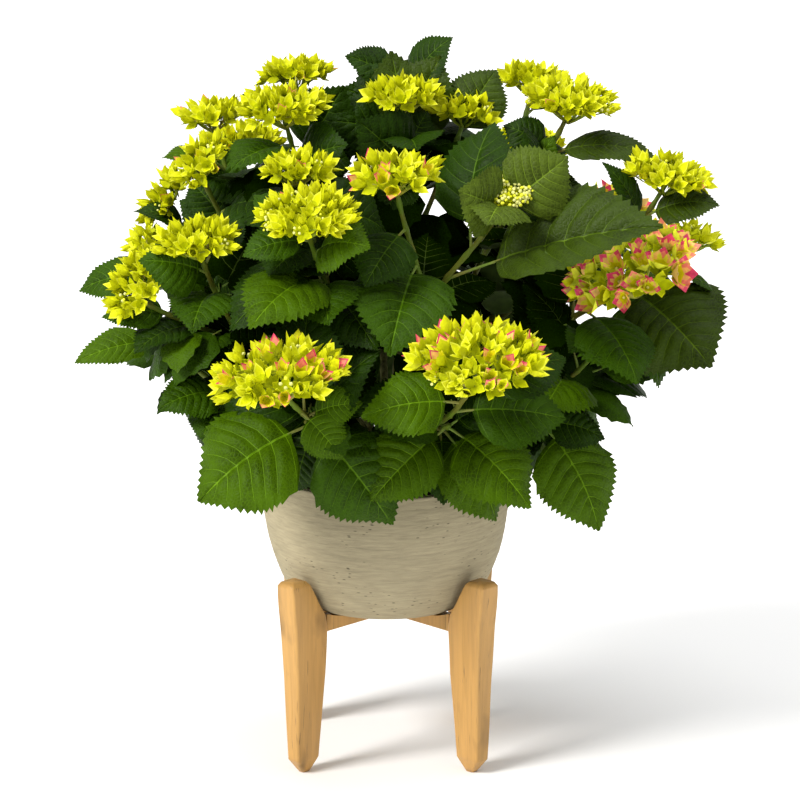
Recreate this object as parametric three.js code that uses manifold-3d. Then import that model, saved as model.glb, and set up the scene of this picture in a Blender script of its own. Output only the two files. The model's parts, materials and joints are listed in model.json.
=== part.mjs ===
// A potted hydrangea: round fibre-clay pot, four-legged wooden stand, and a shrub of
// leafy limbs with flower heads. Millimetres, Z up. Everything is worked out round the
// pot's axis, and the finished group is shifted so that its origin is the bottom centre
// of its bounding box.

import * as THREE from "three";
import { mergeVertices } from "three/addons/utils/BufferGeometryUtils.js";
import Module from "manifold-3d";

const wasm = await Module();
wasm.setup();

// ---------------------------------------------------------------- driving dimensions

const GAP = 0.3;
// Edges shorter than one of these are closed up where the parts of a mass are fused.
const SLIVERS = [0.12, 0.06, 0.2, 0.03];
const WELD = 1e-3;

const POT = {
  sides: 24,
  wall: 9,
  floor: 11,
  // Radius and height along the outside, from the flat underside to the rim.
  outside: [[72, 170], [93, 175], [108, 188], [117, 205], [127, 232], [133, 258], [136, 284], [130, 322]],
};
const SOIL = { top: 304, sink: 4, flatRadius: 46 };

const LEG = {
  chamfer: 2.5,
  // Height, distance of the inner and outer faces from the pot's axis, half width.
  sections: [
    [0, 125, 136, 4.5],
    [16, 115, 148, 9.4],
    [60, 111, 149.5, 10.8],
    [110, 107, 151, 12.4],
    [162, 104.5, 154, 13.8],
    [178, 107.5, 155.5, 14],
    [192, 116.5, 157, 14],
    [206, 124, 158, 14],
    [217, 130, 159, 13],
    [221, 134, 156, 10.5],
  ],
};
// The bowl sits this far off the middle of the stand.
const STAND_SHIFT = 2;
const BAR = { width: 20, bottom: 157.5, cradle: 7.5, cradleStart: 74 };

const STUMP = { height: 30, radii: [33, 27, 24, 25], sides: 10, lean: 2 };
const CANE = { share: 0.46, bow: 12, rootRadius: 4.4, tipRadius: 3.4, sides: 5, rings: 4 };
const CANE_RINGS = [{ radius: 6.5, count: 3 }, { radius: 18, count: 12 }];
const TWIG = { stub: 14, rootRadius: 2.7, tipRadius: 2.3, sides: 3, rings: 4 };

// Each limb is a cane and the leafy mass on its tip. A shoot is the place of its tip, the
// width of its flower head (0 for leaves only), its leaf length and the turn in degrees of
// its first pair of leaves. A reaching leaf is the number of its shoot, how far up that
// shoot it grows and the place of its tip.
const LIMBS = {
  left_top: {
    shoots: [[-190, 60, 710, 78, 95, 20], [-202, -40, 677, 70, 95, 70], [-246, 50, 618, 68, 90, 0]],
    reaching: [[2, 0.75, -268, 15, 636], [0, 0.75, -245, 20, 668]],
  },
  left_side: {
    shoots: [[-208, -160, 627, 90, 105, 40], [-263, 10, 575, 62, 90, 80], [-277, -100, 558, 82, 90, 30]],
    reaching: [[0, 0.8, -262, -172, 598], [0, 0.62, -205, -208, 530], [1, 0.8, -338, 10, 520],
      [2, 0.66, -308, -85, 515], [2, 0.52, -271, -130, 488]],
  },
  top_left: {
    shoots: [[-110, -20, 737, 98, 100, 10], [-101, 160, 723, 80, 100, 50]],
    reaching: [[0, 0.8, -166, -85, 680], [1, 0.6, -46, 40, 742], [0, 0.7, -42, -62, 700]],
  },
  front_upper_left: {
    shoots: [[-96, -110, 694, 80, 95, 60], [-87, -205, 667, 108, 110, 15]],
    reaching: [[1, 0.72, -22, -232, 640], [1, 0.5, -152, -252, 553], [1, 0.42, -60, -240, 545]],
  },
  top: {
    shoots: [[20, 20, 741, 86, 100, 35], [86, 60, 716, 82, 95, 0], [22, 110, 742, 0, 95, 60]],
    reaching: [[2, 0.9, 72, 92, 788], [2, 0.9, -44, 72, 771], [2, 0.7, -62, 40, 704], [1, 0.85, 122, 96, 750],
      [0, 0.72, 34, -70, 694], [0, 0.6, -30, -44, 722]],
  },
  top_right: {
    shoots: [[163, 155, 722, 80, 95, 30], [201, 30, 735, 106, 105, 75]],
    reaching: [[1, 0.72, 282, 34, 664], [0, 0.85, 210, 190, 700], [1, 0.7, 150, -30, 690]],
  },
  front_upper_right: {
    shoots: [[11, -160, 701, 94, 100, 70], [133, -150, 678, 52, 95, 45]],
    reaching: [[1, 0.5, 296, -205, 632], [1, 0.9, 195, -132, 702], [1, 0.9, 78, -192, 688],
      [1, 0.6, 108, -35, 722], [0, 0.7, -22, -205, 578], [0, 0.45, 4, -246, 512]],
  },
  right_side: {
    shoots: [[306, 0, 658, 96, 100, 20], [262, -90, 580, 150, 100, 65], [338, 80, 566, 66, 85, 0]],
    reaching: [[0, 0.8, 364, -18, 624], [0, 0.75, 266, -40, 642], [1, 0.5, 272, -142, 458],
      [2, 0.55, 367, -62, 450], [2, 0.45, 300, -30, 420]],
  },
  front_left: {
    shoots: [[-118, -288, 513, 138, 115, 45], [-85, -188, 425, 0, 120, 10]],
    reaching: [[0, 0.6, -45, -242, 398], [1, 0.85, -200, -208, 342], [1, 0.8, 8, -192, 310],
      [0, 0.5, -24, -228, 456], [1, 0.7, -96, -196, 322]],
  },
  front_right: {
    shoots: [[97, -298, 530, 142, 115, 0], [68, -186, 420, 0, 120, 50]],
    reaching: [[0, 0.6, -26, -252, 448], [0, 0.8, 190, -236, 506], [1, 0.8, -16, -206, 342],
      [1, 0.9, 154, -226, 340], [1, 0.6, 120, -180, 312], [1, 0.5, 62, -204, 316],
      [0, 0.45, 192, -202, 432]],
  },
  right_low: {
    shoots: [[172, -92, 400, 0, 110, 20], [240, -56, 480, 0, 115, 60], [225, 60, 420, 0, 115, 30]],
    reaching: [[0, 0.9, 232, -122, 284], [0, 0.8, 240, -82, 378], [2, 0.7, 225, 20, 322]],
  },
  left_low: {
    shoots: [[-180, -112, 440, 0, 105, 40], [-250, -48, 488, 0, 110, 10], [-225, 60, 420, 0, 115, 75]],
    reaching: [[0, 0.85, -244, -146, 428], [0, 0.7, -198, -158, 398], [1, 0.9, -338, -72, 460],
      [2, 0.7, -195, 40, 328]],
  },
  back_left: {
    shoots: [[-165, 205, 650, 92, 110, 25], [-232, 185, 540, 86, 110, 60], [-150, 196, 425, 0, 120, 5]],
    reaching: [[2, 0.85, -205, 232, 330], [1, 0.5, -300, 140, 470]],
  },
  back: {
    shoots: [[5, 238, 692, 100, 110, 50], [-25, 296, 556, 112, 115, 15], [0, 200, 420, 0, 120, 70]],
    reaching: [[2, 0.85, -40, 245, 315], [2, 0.8, 70, 240, 330]],
  },
  back_right: {
    shoots: [[160, 248, 636, 90, 110, 0], [262, 190, 575, 84, 110, 45], [160, 190, 425, 0, 120, 30]],
    reaching: [[2, 0.85, 205, 235, 330], [1, 0.5, 310, 120, 470]],
  },
};

const LEAF = {
  halfWidth: 0.37,
  thickness: 0.014,
  arch: 0.13,
  fold: 0.14,
  stalk: 1.6,
  // How far along the leaf its stations stand, and the share of the full width there. The
  // stalk runs between the first two.
  stations: {
    reaching: [[0, 0], [0.17, 0], [0.42, 1], [0.74, 0.78]],
    paired: [[0, 0], [0.15, 0], [0.52, 1]],
  },
  // How far up a shoot its pairs of leaves stand, and their size.
  pairs: {
    head: [[0.3, 1], [0.48, 1.1], [0.66, 1.1], [0.85, 0.85]],
    leafy: [[0.3, 1], [0.53, 1.05], [0.76, 1.05], [0.97, 0.85]],
  },
  rise: 0.3,
  clearance: 0.6,
};
const HEAD = {
  sides: 8,
  tooth: 0.09,
  stemDepth: 0.15,
  // Radius and height as shares of the head's width, from its foot up.
  profile: [[0.06, -0.2], [0.4, -0.08], [0.38, 0.04], [0.14, 0.11]],
};

// The crown's envelope, which leaves that are not listed above keep within.
const CROWN = { centre: [13, 0, 530], half: [345, 325, 262], floor: 296, lightReach: 130 };
// Heads stand open to the light, which comes from this side: no leaf lies over them, and
// reaching leaves turn to it as far back as lightReach.
const LIGHT = new THREE.Vector3(0, -0.966, 0.259);

const COLOUR = {
  pot: [0xb3aa9b, 0.85],
  soil: [0x3a2a1e, 1],
  wood: [0xc98f4e, 0.6],
  cane: [0x7d6a45, 0.8],
  foliage: [0x4f7d2c, 0.6],
};

// ----------------------------------------------------------------------- small tools

const vec = (x, y, z) => new THREE.Vector3(x, y, z);
const UP = vec(0, 0, 1);
const lerp = THREE.MathUtils.lerp;
const radians = THREE.MathUtils.degToRad;

const times = (count, make) => Array.from({ length: count }, (_, index) => make(index));

// A repeatable stream of numbers from 0 to 1.
function stream(seed) {
  let state = seed;
  return () => {
    state = (state * 48271) % 2147483647;
    return state / 2147483647;
  };
}

function across(direction, reference) {
  const side = vec().crossVectors(direction, reference);
  return side.lengthSq() < 1e-6 ? vec(1, 0, 0) : side.normalize();
}

function geometryOf(points, triangles) {
  const geometry = new THREE.BufferGeometry();
  const numbers = points.flatMap((point) => [point.x, point.y, point.z]);
  geometry.setAttribute("position", new THREE.Float32BufferAttribute(numbers, 3));
  geometry.setIndex(triangles.flat());
  return geometry;
}

function solidOf(geometry) {
  const bare = geometry.clone();
  bare.deleteAttribute("normal");
  bare.deleteAttribute("uv");
  const merged = mergeVertices(bare, 1e-4);
  const mesh = new wasm.Mesh({
    numProp: 3,
    vertProperties: merged.getAttribute("position").array,
    triVerts: new Uint32Array(merged.index.array),
  });
  return new wasm.Manifold(mesh);
}

function geometryOfSolid(solid) {
  const mesh = solid.getMesh();
  const geometry = new THREE.BufferGeometry();
  geometry.setAttribute("position", new THREE.BufferAttribute(mesh.vertProperties, 3));
  geometry.setIndex(new THREE.BufferAttribute(mesh.triVerts, 1));
  return geometry;
}

// True if each edge joins two faces once vertices that lie in one place are taken as one.
function isSound(geometry) {
  const merged = mergeVertices(geometry, WELD);
  const corners = merged.index.array;
  const uses = new Map();
  for (let corner = 0; corner < corners.length; corner += 3) {
    const face = [corners[corner], corners[corner + 1], corners[corner + 2]];
    if (new Set(face).size < 3) {
      return false;
    }
    face.forEach((from, index) => {
      const to = face[(index + 1) % 3];
      const key = Math.min(from, to) * corners.length + Math.max(from, to);
      uses.set(key, (uses.get(key) ?? 0) + 1);
    });
  }
  return [...uses.values()].every((count) => count === 2);
}

// The body with a part joined on, or null if the join can't be closed cleanly. Hollows
// that it seals are filled.
function joined(body, part) {
  const whole = body.add(part).asOriginal();
  for (const sliver of SLIVERS) {
    const [largest] = whole.simplify(sliver).decompose().sort((one, two) => two.volume() - one.volume());
    if (isSound(geometryOfSolid(largest))) {
      return largest;
    }
  }
  return null;
}

// One body from a mass's parts, stem first. A part that can't be joined cleanly is left out.
function fused([stem, ...parts]) {
  return parts.reduce((body, part) => joined(body, part) ?? body, stem);
}

function meshOf(name, geometry, [colour, roughness]) {
  const look = { color: colour, roughness, metalness: 0, flatShading: true };
  const material = new THREE.MeshStandardMaterial(look);
  const mesh = new THREE.Mesh(geometry, material);
  mesh.name = name;
  return mesh;
}

// A closed skin over rings of points, each ring listed anticlockwise seen from its front.
function loft(rings) {
  const count = rings[0].length;
  const points = rings.flat();
  const triangles = [];
  for (let ring = 0; ring + 1 < rings.length; ring += 1) {
    for (let side = 0; side < count; side += 1) {
      const a = ring * count + side;
      const b = ring * count + ((side + 1) % count);
      triangles.push([a, b, b + count], [a, b + count, a + count]);
    }
  }
  const last = (rings.length - 1) * count;
  for (let side = 1; side + 1 < count; side += 1) {
    triangles.push([0, side + 1, side], [last, last + side, last + side + 1]);
  }
  return geometryOf(points, triangles);
}

// The place a share of the way along a limb's axis, which runs straight from ring to ring.
function alongAxis(curve, rings, share) {
  const ring = Math.min(Math.floor(share * rings), rings - 1);
  return curve.getPoint(ring / rings).lerp(curve.getPoint((ring + 1) / rings), share * rings - ring);
}

// A tapering limb along a curve, with flat ends square to it.
function limb(curve, { sides, rings, rootRadius, tipRadius }) {
  let side = across(curve.getTangent(0), vec(0.3, 1, 0.1));
  const skin = [];
  for (let ring = 0; ring <= rings; ring += 1) {
    const share = ring / rings;
    const tangent = curve.getTangent(share);
    side = side.clone().addScaledVector(tangent, -side.dot(tangent)).normalize();
    const other = vec().crossVectors(tangent, side);
    const radius = lerp(rootRadius, tipRadius, share);
    const centre = curve.getPoint(share);
    skin.push(times(sides, (corner) => {
      const angle = (corner / sides) * 2 * Math.PI;
      const point = centre.clone().addScaledVector(side, radius * Math.cos(angle));
      return point.addScaledVector(other, radius * Math.sin(angle));
    }));
  }
  return loft(skin);
}

// ------------------------------------------------------------------------ pot and soil

// A profile of radius and height turned about the upright axis.
function turned(profile) {
  const points = profile.map(([radius, height]) => new THREE.Vector2(radius, height));
  return new THREE.LatheGeometry(points, POT.sides).rotateX(Math.PI / 2);
}

function potGeometry() {
  const innerFloor = POT.outside[0][1] + POT.floor;
  const inside = POT.outside.map(([radius, height]) => [radius - POT.wall, Math.max(height, innerFloor)]);
  const wall = inside.slice(1).reverse();
  const profile = [[0, POT.outside[0][1]], ...POT.outside, ...wall, [0, innerFloor]];
  return turned(profile);
}

// The soil fills the pot to just under its rim and slopes a little to the wall.
function soilGeometry() {
  const clear = GAP * 1.5;
  const innerFloor = POT.outside[0][1] + POT.floor + clear;
  const edge = SOIL.top - SOIL.sink;
  const below = POT.outside.slice(1).filter(([, height]) => height < edge);
  const wall = below.map(([r, z]) => [r - POT.wall - clear, Math.max(z + clear, innerFloor)]);
  const [[lowRadius, lowHeight], [highRadius, highHeight]] = POT.outside.slice(-2);
  const edgeRadius = lerp(lowRadius, highRadius, (edge - lowHeight) / (highHeight - lowHeight));
  const profile = [[0, innerFloor], ...wall, [edgeRadius - POT.wall - clear, edge],
    [SOIL.flatRadius, SOIL.top], [0, SOIL.top]];
  return turned(profile);
}

// ------------------------------------------------------------------------------- stand

// A rectangle with chamfered corners, level, from r = inner to r = outer along X.
function legRing([height, inner, outer, half]) {
  const cut = Math.min(LEG.chamfer, half / 2);
  const corners = [
    [inner + cut, -half], [outer - cut, -half], [outer, -half + cut], [outer, half - cut],
    [outer - cut, half], [inner + cut, half], [inner, half - cut], [inner, -half + cut],
  ];
  return corners.map(([x, y]) => vec(x, y, height));
}

// A cross bar: its ends rise under the bowl, and half its depth is cut away in the middle,
// from above or from below, where it laps the other bar.
function barGeometry(lapFromAbove) {
  const reach = LEG.sections[4][1] - GAP;
  const top = POT.outside[0][1] - GAP;
  const lap = BAR.width / 2 + GAP;
  const middle = (BAR.bottom + top) / 2;
  const shape = new THREE.Shape();
  shape.moveTo(-reach, BAR.bottom);
  if (!lapFromAbove) {
    shape.lineTo(-lap, BAR.bottom).lineTo(-lap, middle + GAP / 2);
    shape.lineTo(lap, middle + GAP / 2).lineTo(lap, BAR.bottom);
  }
  shape.lineTo(reach, BAR.bottom).lineTo(reach, top + BAR.cradle);
  shape.quadraticCurveTo(BAR.cradleStart + 14, top + 1, BAR.cradleStart, top);
  if (lapFromAbove) {
    shape.lineTo(lap, top).lineTo(lap, middle - GAP / 2).lineTo(-lap, middle - GAP / 2).lineTo(-lap, top);
  }
  shape.lineTo(-BAR.cradleStart, top);
  shape.quadraticCurveTo(-BAR.cradleStart - 14, top + 1, -reach, top + BAR.cradle);
  const extrusion = { depth: BAR.width, bevelEnabled: false, curveSegments: 3 };
  const geometry = new THREE.ExtrudeGeometry(shape, extrusion);
  return geometry.translate(0, 0, -BAR.width / 2).rotateX(Math.PI / 2);
}

// The legs stand at the corners of a square, each bar reaching from one to the opposite one.
function standGroup() {
  const stand = new THREE.Group();
  stand.position.x = STAND_SHIFT;
  const corners = ["back_right", "back_left", "front_left", "front_right"];
  corners.forEach((corner, quarter) => {
    const leg = meshOf(`leg_${corner}`, loft(LEG.sections.map(legRing)), COLOUR.wood);
    leg.rotation.z = radians(45 + 90 * quarter);
    stand.add(leg);
  });
  [true, false].forEach((lapFromAbove, index) => {
    const bar = meshOf(`cross_bar_${index + 1}`, barGeometry(lapFromAbove), COLOUR.wood);
    bar.rotation.z = radians(45 + 90 * index);
    stand.add(bar);
  });
  return stand;
}

// --------------------------------------------------------------------- stump and canes

const STUMP_TOP = SOIL.top + GAP + STUMP.height;

// The short woody foot: flared at the soil, a little swollen where the canes leave it.
function stumpGeometry() {
  const rings = STUMP.radii.map((radius, index) => {
    const share = index / (STUMP.radii.length - 1);
    return times(STUMP.sides, (corner) => {
      const angle = (corner / STUMP.sides) * 2 * Math.PI;
      const bulge = radius * (1 + 0.05 * Math.sin(3 * angle + index));
      const height = SOIL.top + GAP + STUMP.height * share;
      return vec(bulge * Math.cos(angle) + STUMP.lean * share, bulge * Math.sin(angle), height);
    });
  });
  return loft(rings);
}

function middleOfShoots(shoots) {
  const sum = vec();
  shoots.forEach(([x, y, z]) => sum.add(vec(x, y, z)));
  return sum.divideScalar(shoots.length);
}

// Canes stand in two rings on the stump: the steepest inside, the rest by their bearing.
function caneRoots() {
  const places = Object.entries(LIMBS).map(([name, { shoots }]) => {
    const middle = middleOfShoots(shoots);
    return { name, bearing: Math.atan2(middle.y, middle.x), spread: Math.hypot(middle.x, middle.y) };
  });
  places.sort((one, two) => one.spread - two.spread);
  const roots = {};
  CANE_RINGS.forEach(({ radius, count }) => {
    const here = places.splice(0, count).sort((one, two) => one.bearing - two.bearing);
    here.forEach(({ name }, index) => {
      const angle = here[0].bearing + (index / here.length) * 2 * Math.PI;
      roots[name] = vec(radius * Math.cos(angle) + STUMP.lean, radius * Math.sin(angle), STUMP_TOP + GAP);
    });
  });
  return roots;
}

// A cane leaves the stump upright and leans out to a share of the way to its shoots.
function caneCurve(root, shoots) {
  const tip = root.clone().lerp(middleOfShoots(shoots), CANE.share);
  const rise = vec(root.x, root.y, lerp(root.z, tip.z, 0.4));
  const bend = root.clone().lerp(tip, 0.55).addScaledVector(UP, CANE.bow);
  return new THREE.CubicBezierCurve3(root, rise, bend, tip);
}

// -------------------------------------------------------------------- leaves and heads

// A leaf is a thin folded lens: a stalk from inside its twig, then a blade that arches over.
function leafGeometry({ root, tip, face, width, stations }, grow = 0) {
  const line = tip.clone().sub(root);
  const length = line.length();
  const axis = line.clone().normalize();
  const up = face.clone().addScaledVector(axis, -face.dot(axis)).normalize();
  const side = vec().crossVectors(up, axis);
  const bend = root.clone().lerp(tip, 0.5).addScaledVector(up, 2 * LEAF.arch * length);
  const curve = new THREE.QuadraticBezierCurve3(root, bend, tip);
  const thick = Math.max(LEAF.stalk, LEAF.thickness * length) / 2 + grow;
  const rings = stations.map(([share, wide]) => {
    const centre = curve.getPoint(share);
    const half = Math.max(LEAF.stalk, width * wide) + grow;
    const raised = centre.clone().addScaledVector(up, LEAF.fold * (half - LEAF.stalk));
    return [
      raised.clone().addScaledVector(side, half),
      centre.clone().addScaledVector(up, thick),
      raised.clone().addScaledVector(side, -half),
      centre.clone().addScaledVector(up, -thick),
    ];
  });
  const end = tip.clone().addScaledVector(axis, grow);
  return loft([...rings, [end, end, end, end]]);
}

// A flower head: a shallow dome on its twig's tip, toothed like the sepals standing on it.
function headGeometry(centre, axis, width, random) {
  const side = across(axis, vec(0, 1, 0.2));
  const other = vec().crossVectors(axis, side);
  const rings = HEAD.profile.map(([radius, height], ring) => times(HEAD.sides, (corner) => {
    const angle = (corner / HEAD.sides) * 2 * Math.PI;
    const tooth = ring > 0 && (corner + ring) % 2 === 0 ? HEAD.tooth * (0.6 + 0.8 * random()) : 0;
    return centre.clone()
      .addScaledVector(side, (radius + tooth / 3) * width * Math.cos(angle))
      .addScaledVector(other, (radius + tooth / 3) * width * Math.sin(angle))
      .addScaledVector(axis, (height + tooth) * width);
  }));
  return loft(rings);
}

// ------------------------------------------------------------------------------ masses

// A shoot leaves the cane's tip along the cane and turns up into its flower head.
function shootCurve(start, heading, [x, y, z, head]) {
  const tip = vec(x, y, z - head * HEAD.stemDepth);
  const distance = start.distanceTo(tip);
  const leave = start.clone().addScaledVector(heading, distance * 0.35);
  const arrive = tip.clone().lerp(start, 0.25).addScaledVector(UP, -distance * 0.08);
  return new THREE.CubicBezierCurve3(start, leave, arrive, tip);
}

// A leaf whose tip's place is given.
function reachingLeaf(curve, share, tip) {
  const root = alongAxis(curve, TWIG.rings, share);
  const outward = vec(tip.x - CROWN.centre[0], tip.y, 0).normalize();
  const face = curve.getTangent(share).multiplyScalar(0.4).add(UP).addScaledVector(outward, 0.5);
  face.addScaledVector(LIGHT, tip.y < CROWN.lightReach ? 0.9 : 0);
  const width = LEAF.halfWidth * root.distanceTo(tip);
  return { root, tip, face, width, stations: LEAF.stations.reaching };
}

// A leaf of a pair: square to its shoot at this turn, rising, with its tip drooping.
function pairedLeaf(curve, share, turn, length) {
  const root = alongAxis(curve, TWIG.rings, share);
  const tangent = curve.getTangent(share);
  const side = across(tangent, vec(0, 1, 0.1));
  const other = vec().crossVectors(tangent, side);
  const heading = side.multiplyScalar(Math.cos(turn)).addScaledVector(other, Math.sin(turn));
  heading.addScaledVector(tangent, LEAF.rise).addScaledVector(UP, -0.15).normalize();
  const tip = root.clone().addScaledVector(heading, length);
  const face = tangent.clone().add(UP).addScaledVector(heading, 0.2);
  const width = LEAF.halfWidth * length;
  return { root, tip, face, width, stations: LEAF.stations.paired };
}

// Pairs stand a quarter turn on from each other up the shoot.
function pairedLeaves(curve, [, , , head, length, turnDeg], random) {
  const pairs = head ? LEAF.pairs.head : LEAF.pairs.leafy;
  return pairs.flatMap(([share, size], pair) => [0, Math.PI].map((opposite) => {
    const turn = radians(turnDeg) + pair * (Math.PI / 2) + opposite + (random() - 0.5) * 0.5;
    return pairedLeaf(curve, share, turn, length * size * (0.9 + 0.2 * random()));
  }));
}

function insideCrown({ x, y, z }) {
  const [cx, cy, cz] = CROWN.centre;
  const [hx, hy, hz] = CROWN.half;
  return z > CROWN.floor && ((x - cx) / hx) ** 2 + ((y - cy) / hy) ** 2 + ((z - cz) / hz) ** 2 < 1;
}

// True if a leaf would lie over a flower head on its light side.
function shadesHead(leaf, heads) {
  return heads.some(({ centre, width }) => [0.45, 0.75, 1].some((share) => {
    const from = leaf.root.clone().lerp(leaf.tip, share).sub(centre);
    const along = from.dot(LIGHT);
    return along > 0 && from.addScaledVector(LIGHT, -along).length() < width * 0.5;
  }));
}

class Space {
  constructor() {
    this.placed = [];
  }

  add(owner, solid) {
    this.placed.push({ owner, solid, box: solid.boundingBox() });
  }

  // True if the solid touches nothing of another owner's.
  isFree(owner, solid) {
    const box = solid.boundingBox();
    return !this.placed.some((other) => {
      const { min, max } = other.box;
      const apart = [0, 1, 2].some((axis) => box.min[axis] > max[axis] || box.max[axis] < min[axis]);
      return other.owner !== owner && !apart && !solid.intersect(other.solid).isEmpty();
    });
  }
}

function addLeaf(mass, leaf, space) {
  if (!space.isFree(mass.name, solidOf(leafGeometry(leaf, LEAF.clearance)))) {
    return;
  }
  const solid = solidOf(leafGeometry(leaf));
  mass.parts.push(solid);
  space.add(mass.name, solid);
}

// The mass's stem, twigs and flower heads.
function startMass(name, cane, shoots, random, space) {
  const heading = cane.getTangent(1);
  const start = cane.getPoint(1).addScaledVector(heading, GAP);
  const stubEnd = start.clone().addScaledVector(heading, TWIG.stub);
  const stubSize = { ...CANE, rootRadius: CANE.tipRadius, rings: 1 };
  const stub = limb(new THREE.LineCurve3(start, stubEnd), stubSize);
  const curves = shoots.map((shoot, index) => {
    const split = start.clone().addScaledVector(heading, TWIG.stub * (0.3 + 0.2 * index));
    return shootCurve(split, heading, shoot);
  });
  const heads = [];
  const pieces = [stub, ...curves.map((curve) => limb(curve, TWIG))];
  shoots.forEach(([x, y, z, width], index) => {
    if (width > 0) {
      const axis = curves[index].getTangent(1).add(vec(0, 0, 0.6)).normalize();
      pieces.push(headGeometry(vec(x, y, z), axis, width, random));
      heads.push({ centre: vec(x, y, z), width });
    }
  });
  const parts = pieces.map(solidOf);
  parts.forEach((solid) => space.add(name, solid));
  return { name, shoots, curves, heads, parts };
}

function growMasses(canes, space) {
  const random = stream(20817);
  const masses = Object.entries(LIMBS).map(([name, { shoots }]) =>
    startMass(`mass_${name}`, canes[name], shoots, random, space));
  const heads = masses.flatMap((mass) => mass.heads);
  Object.values(LIMBS).forEach(({ reaching }, index) => {
    const mass = masses[index];
    reaching.forEach(([shoot, share, x, y, z]) =>
      addLeaf(mass, reachingLeaf(mass.curves[shoot], share, vec(x, y, z)), space));
  });
  masses.forEach((mass) => mass.curves.forEach((curve, index) => {
    pairedLeaves(curve, mass.shoots[index], random)
      .filter((leaf) => insideCrown(leaf.tip) && !shadesHead(leaf, heads))
      .forEach((leaf) => addLeaf(mass, leaf, space));
  }));
  return masses;
}

// ---------------------------------------------------------------------------- assembly

const group = new THREE.Group();
const pot = meshOf("pot", potGeometry(), COLOUR.pot);
const soil = meshOf("soil", soilGeometry(), COLOUR.soil);
const stump = meshOf("stem_foot", stumpGeometry(), COLOUR.cane);
group.add(pot, soil, stump, standGroup());

const space = new Space();
[pot, soil, stump].forEach((mesh) => space.add(mesh.name, solidOf(mesh.geometry)));

const roots = caneRoots();
const canes = {};
Object.entries(LIMBS).forEach(([name, { shoots }]) => {
  canes[name] = caneCurve(roots[name], shoots);
  const cane = meshOf(`cane_${name}`, limb(canes[name], CANE), COLOUR.cane);
  space.add(cane.name, solidOf(cane.geometry));
  group.add(cane);
});

growMasses(canes, space).forEach(({ name, parts }) => {
  group.add(meshOf(name, geometryOfSolid(fused(parts)), COLOUR.foliage));
});

const bounds = new THREE.Box3().setFromObject(group, true);
const middle = bounds.getCenter(vec());
group.position.set(-middle.x, -middle.y, -bounds.min.z);

export default group;
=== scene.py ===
"""A potted hydrangea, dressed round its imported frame.

The limbs, shoots and leaves follow one seeded rule. Plant sizes are in millimetres round the
pot's axis, with Z up, and become metres in the frame when a piece is made.
"""

import json
import math
import random

import bmesh
import bpy
import numpy as np
from mathutils import Matrix, Quaternion, Vector, noise

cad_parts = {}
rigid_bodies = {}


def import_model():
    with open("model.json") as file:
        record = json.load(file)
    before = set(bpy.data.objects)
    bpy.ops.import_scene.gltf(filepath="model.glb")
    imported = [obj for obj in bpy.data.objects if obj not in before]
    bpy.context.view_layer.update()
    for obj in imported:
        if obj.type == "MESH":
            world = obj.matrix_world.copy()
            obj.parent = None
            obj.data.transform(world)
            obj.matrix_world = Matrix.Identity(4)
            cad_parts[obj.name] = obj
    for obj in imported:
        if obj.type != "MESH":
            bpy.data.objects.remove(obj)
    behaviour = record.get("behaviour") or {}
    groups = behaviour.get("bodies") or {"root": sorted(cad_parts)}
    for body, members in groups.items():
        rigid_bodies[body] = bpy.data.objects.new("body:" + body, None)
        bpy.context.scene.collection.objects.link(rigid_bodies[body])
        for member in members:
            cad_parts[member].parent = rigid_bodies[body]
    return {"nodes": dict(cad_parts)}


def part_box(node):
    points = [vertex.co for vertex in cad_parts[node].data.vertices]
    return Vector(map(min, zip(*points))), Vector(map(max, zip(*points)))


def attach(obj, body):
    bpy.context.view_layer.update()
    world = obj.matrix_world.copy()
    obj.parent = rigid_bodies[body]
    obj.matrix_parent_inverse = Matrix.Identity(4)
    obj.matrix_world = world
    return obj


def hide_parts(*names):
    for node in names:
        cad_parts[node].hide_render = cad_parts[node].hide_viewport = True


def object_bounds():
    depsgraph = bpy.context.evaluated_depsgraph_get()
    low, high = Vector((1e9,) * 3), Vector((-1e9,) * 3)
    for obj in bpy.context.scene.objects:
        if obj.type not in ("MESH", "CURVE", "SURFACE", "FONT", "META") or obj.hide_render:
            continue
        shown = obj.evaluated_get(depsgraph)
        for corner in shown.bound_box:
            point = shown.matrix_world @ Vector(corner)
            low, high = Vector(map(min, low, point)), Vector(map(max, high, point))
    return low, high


bl_info = {
    "name": "Potted Hydrangea",
    "version": (1, 0, 0),
    "blender": (4, 5, 0),
    "location": "View3D > Sidebar > Hydrangea",
    "description": "Leaves, flower heads, canes, clay pot and wooden stand of a hydrangea",
    "category": "Add Mesh",
}

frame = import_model()
CAD_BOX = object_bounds()
POT_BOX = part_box("pot")
AXIS = np.array([(POT_BOX[0][0] + POT_BOX[1][0]) / 2, (POT_BOX[0][1] + POT_BOX[1][1]) / 2, 0.0])
MM = 0.001
# How far every point stays inside the CAD box, in metres.
BOX_MARGIN = 0.0003
# Edges bent by more than this are shaded sharp.
SHARP = math.radians(70)
GOLDEN_ANGLE = 2.39996
# Leaf tones by number, then the name and the gloss of each. The deep and inner tones are darker
# greens that paint the shade inside the crown.
FRESH, MID, DEEP_SHADE, OLIVE, INNER_SHADE, YOUNG = range(6)
LEAF_TONES = (("fresh", 0.07), ("mid", 0.08), ("deep", 0.09), ("olive", 0.13), ("inner", 0.0),
              ("young", 0.1))

# ------------------------------------------------------------------------- the plant's rule

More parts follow.
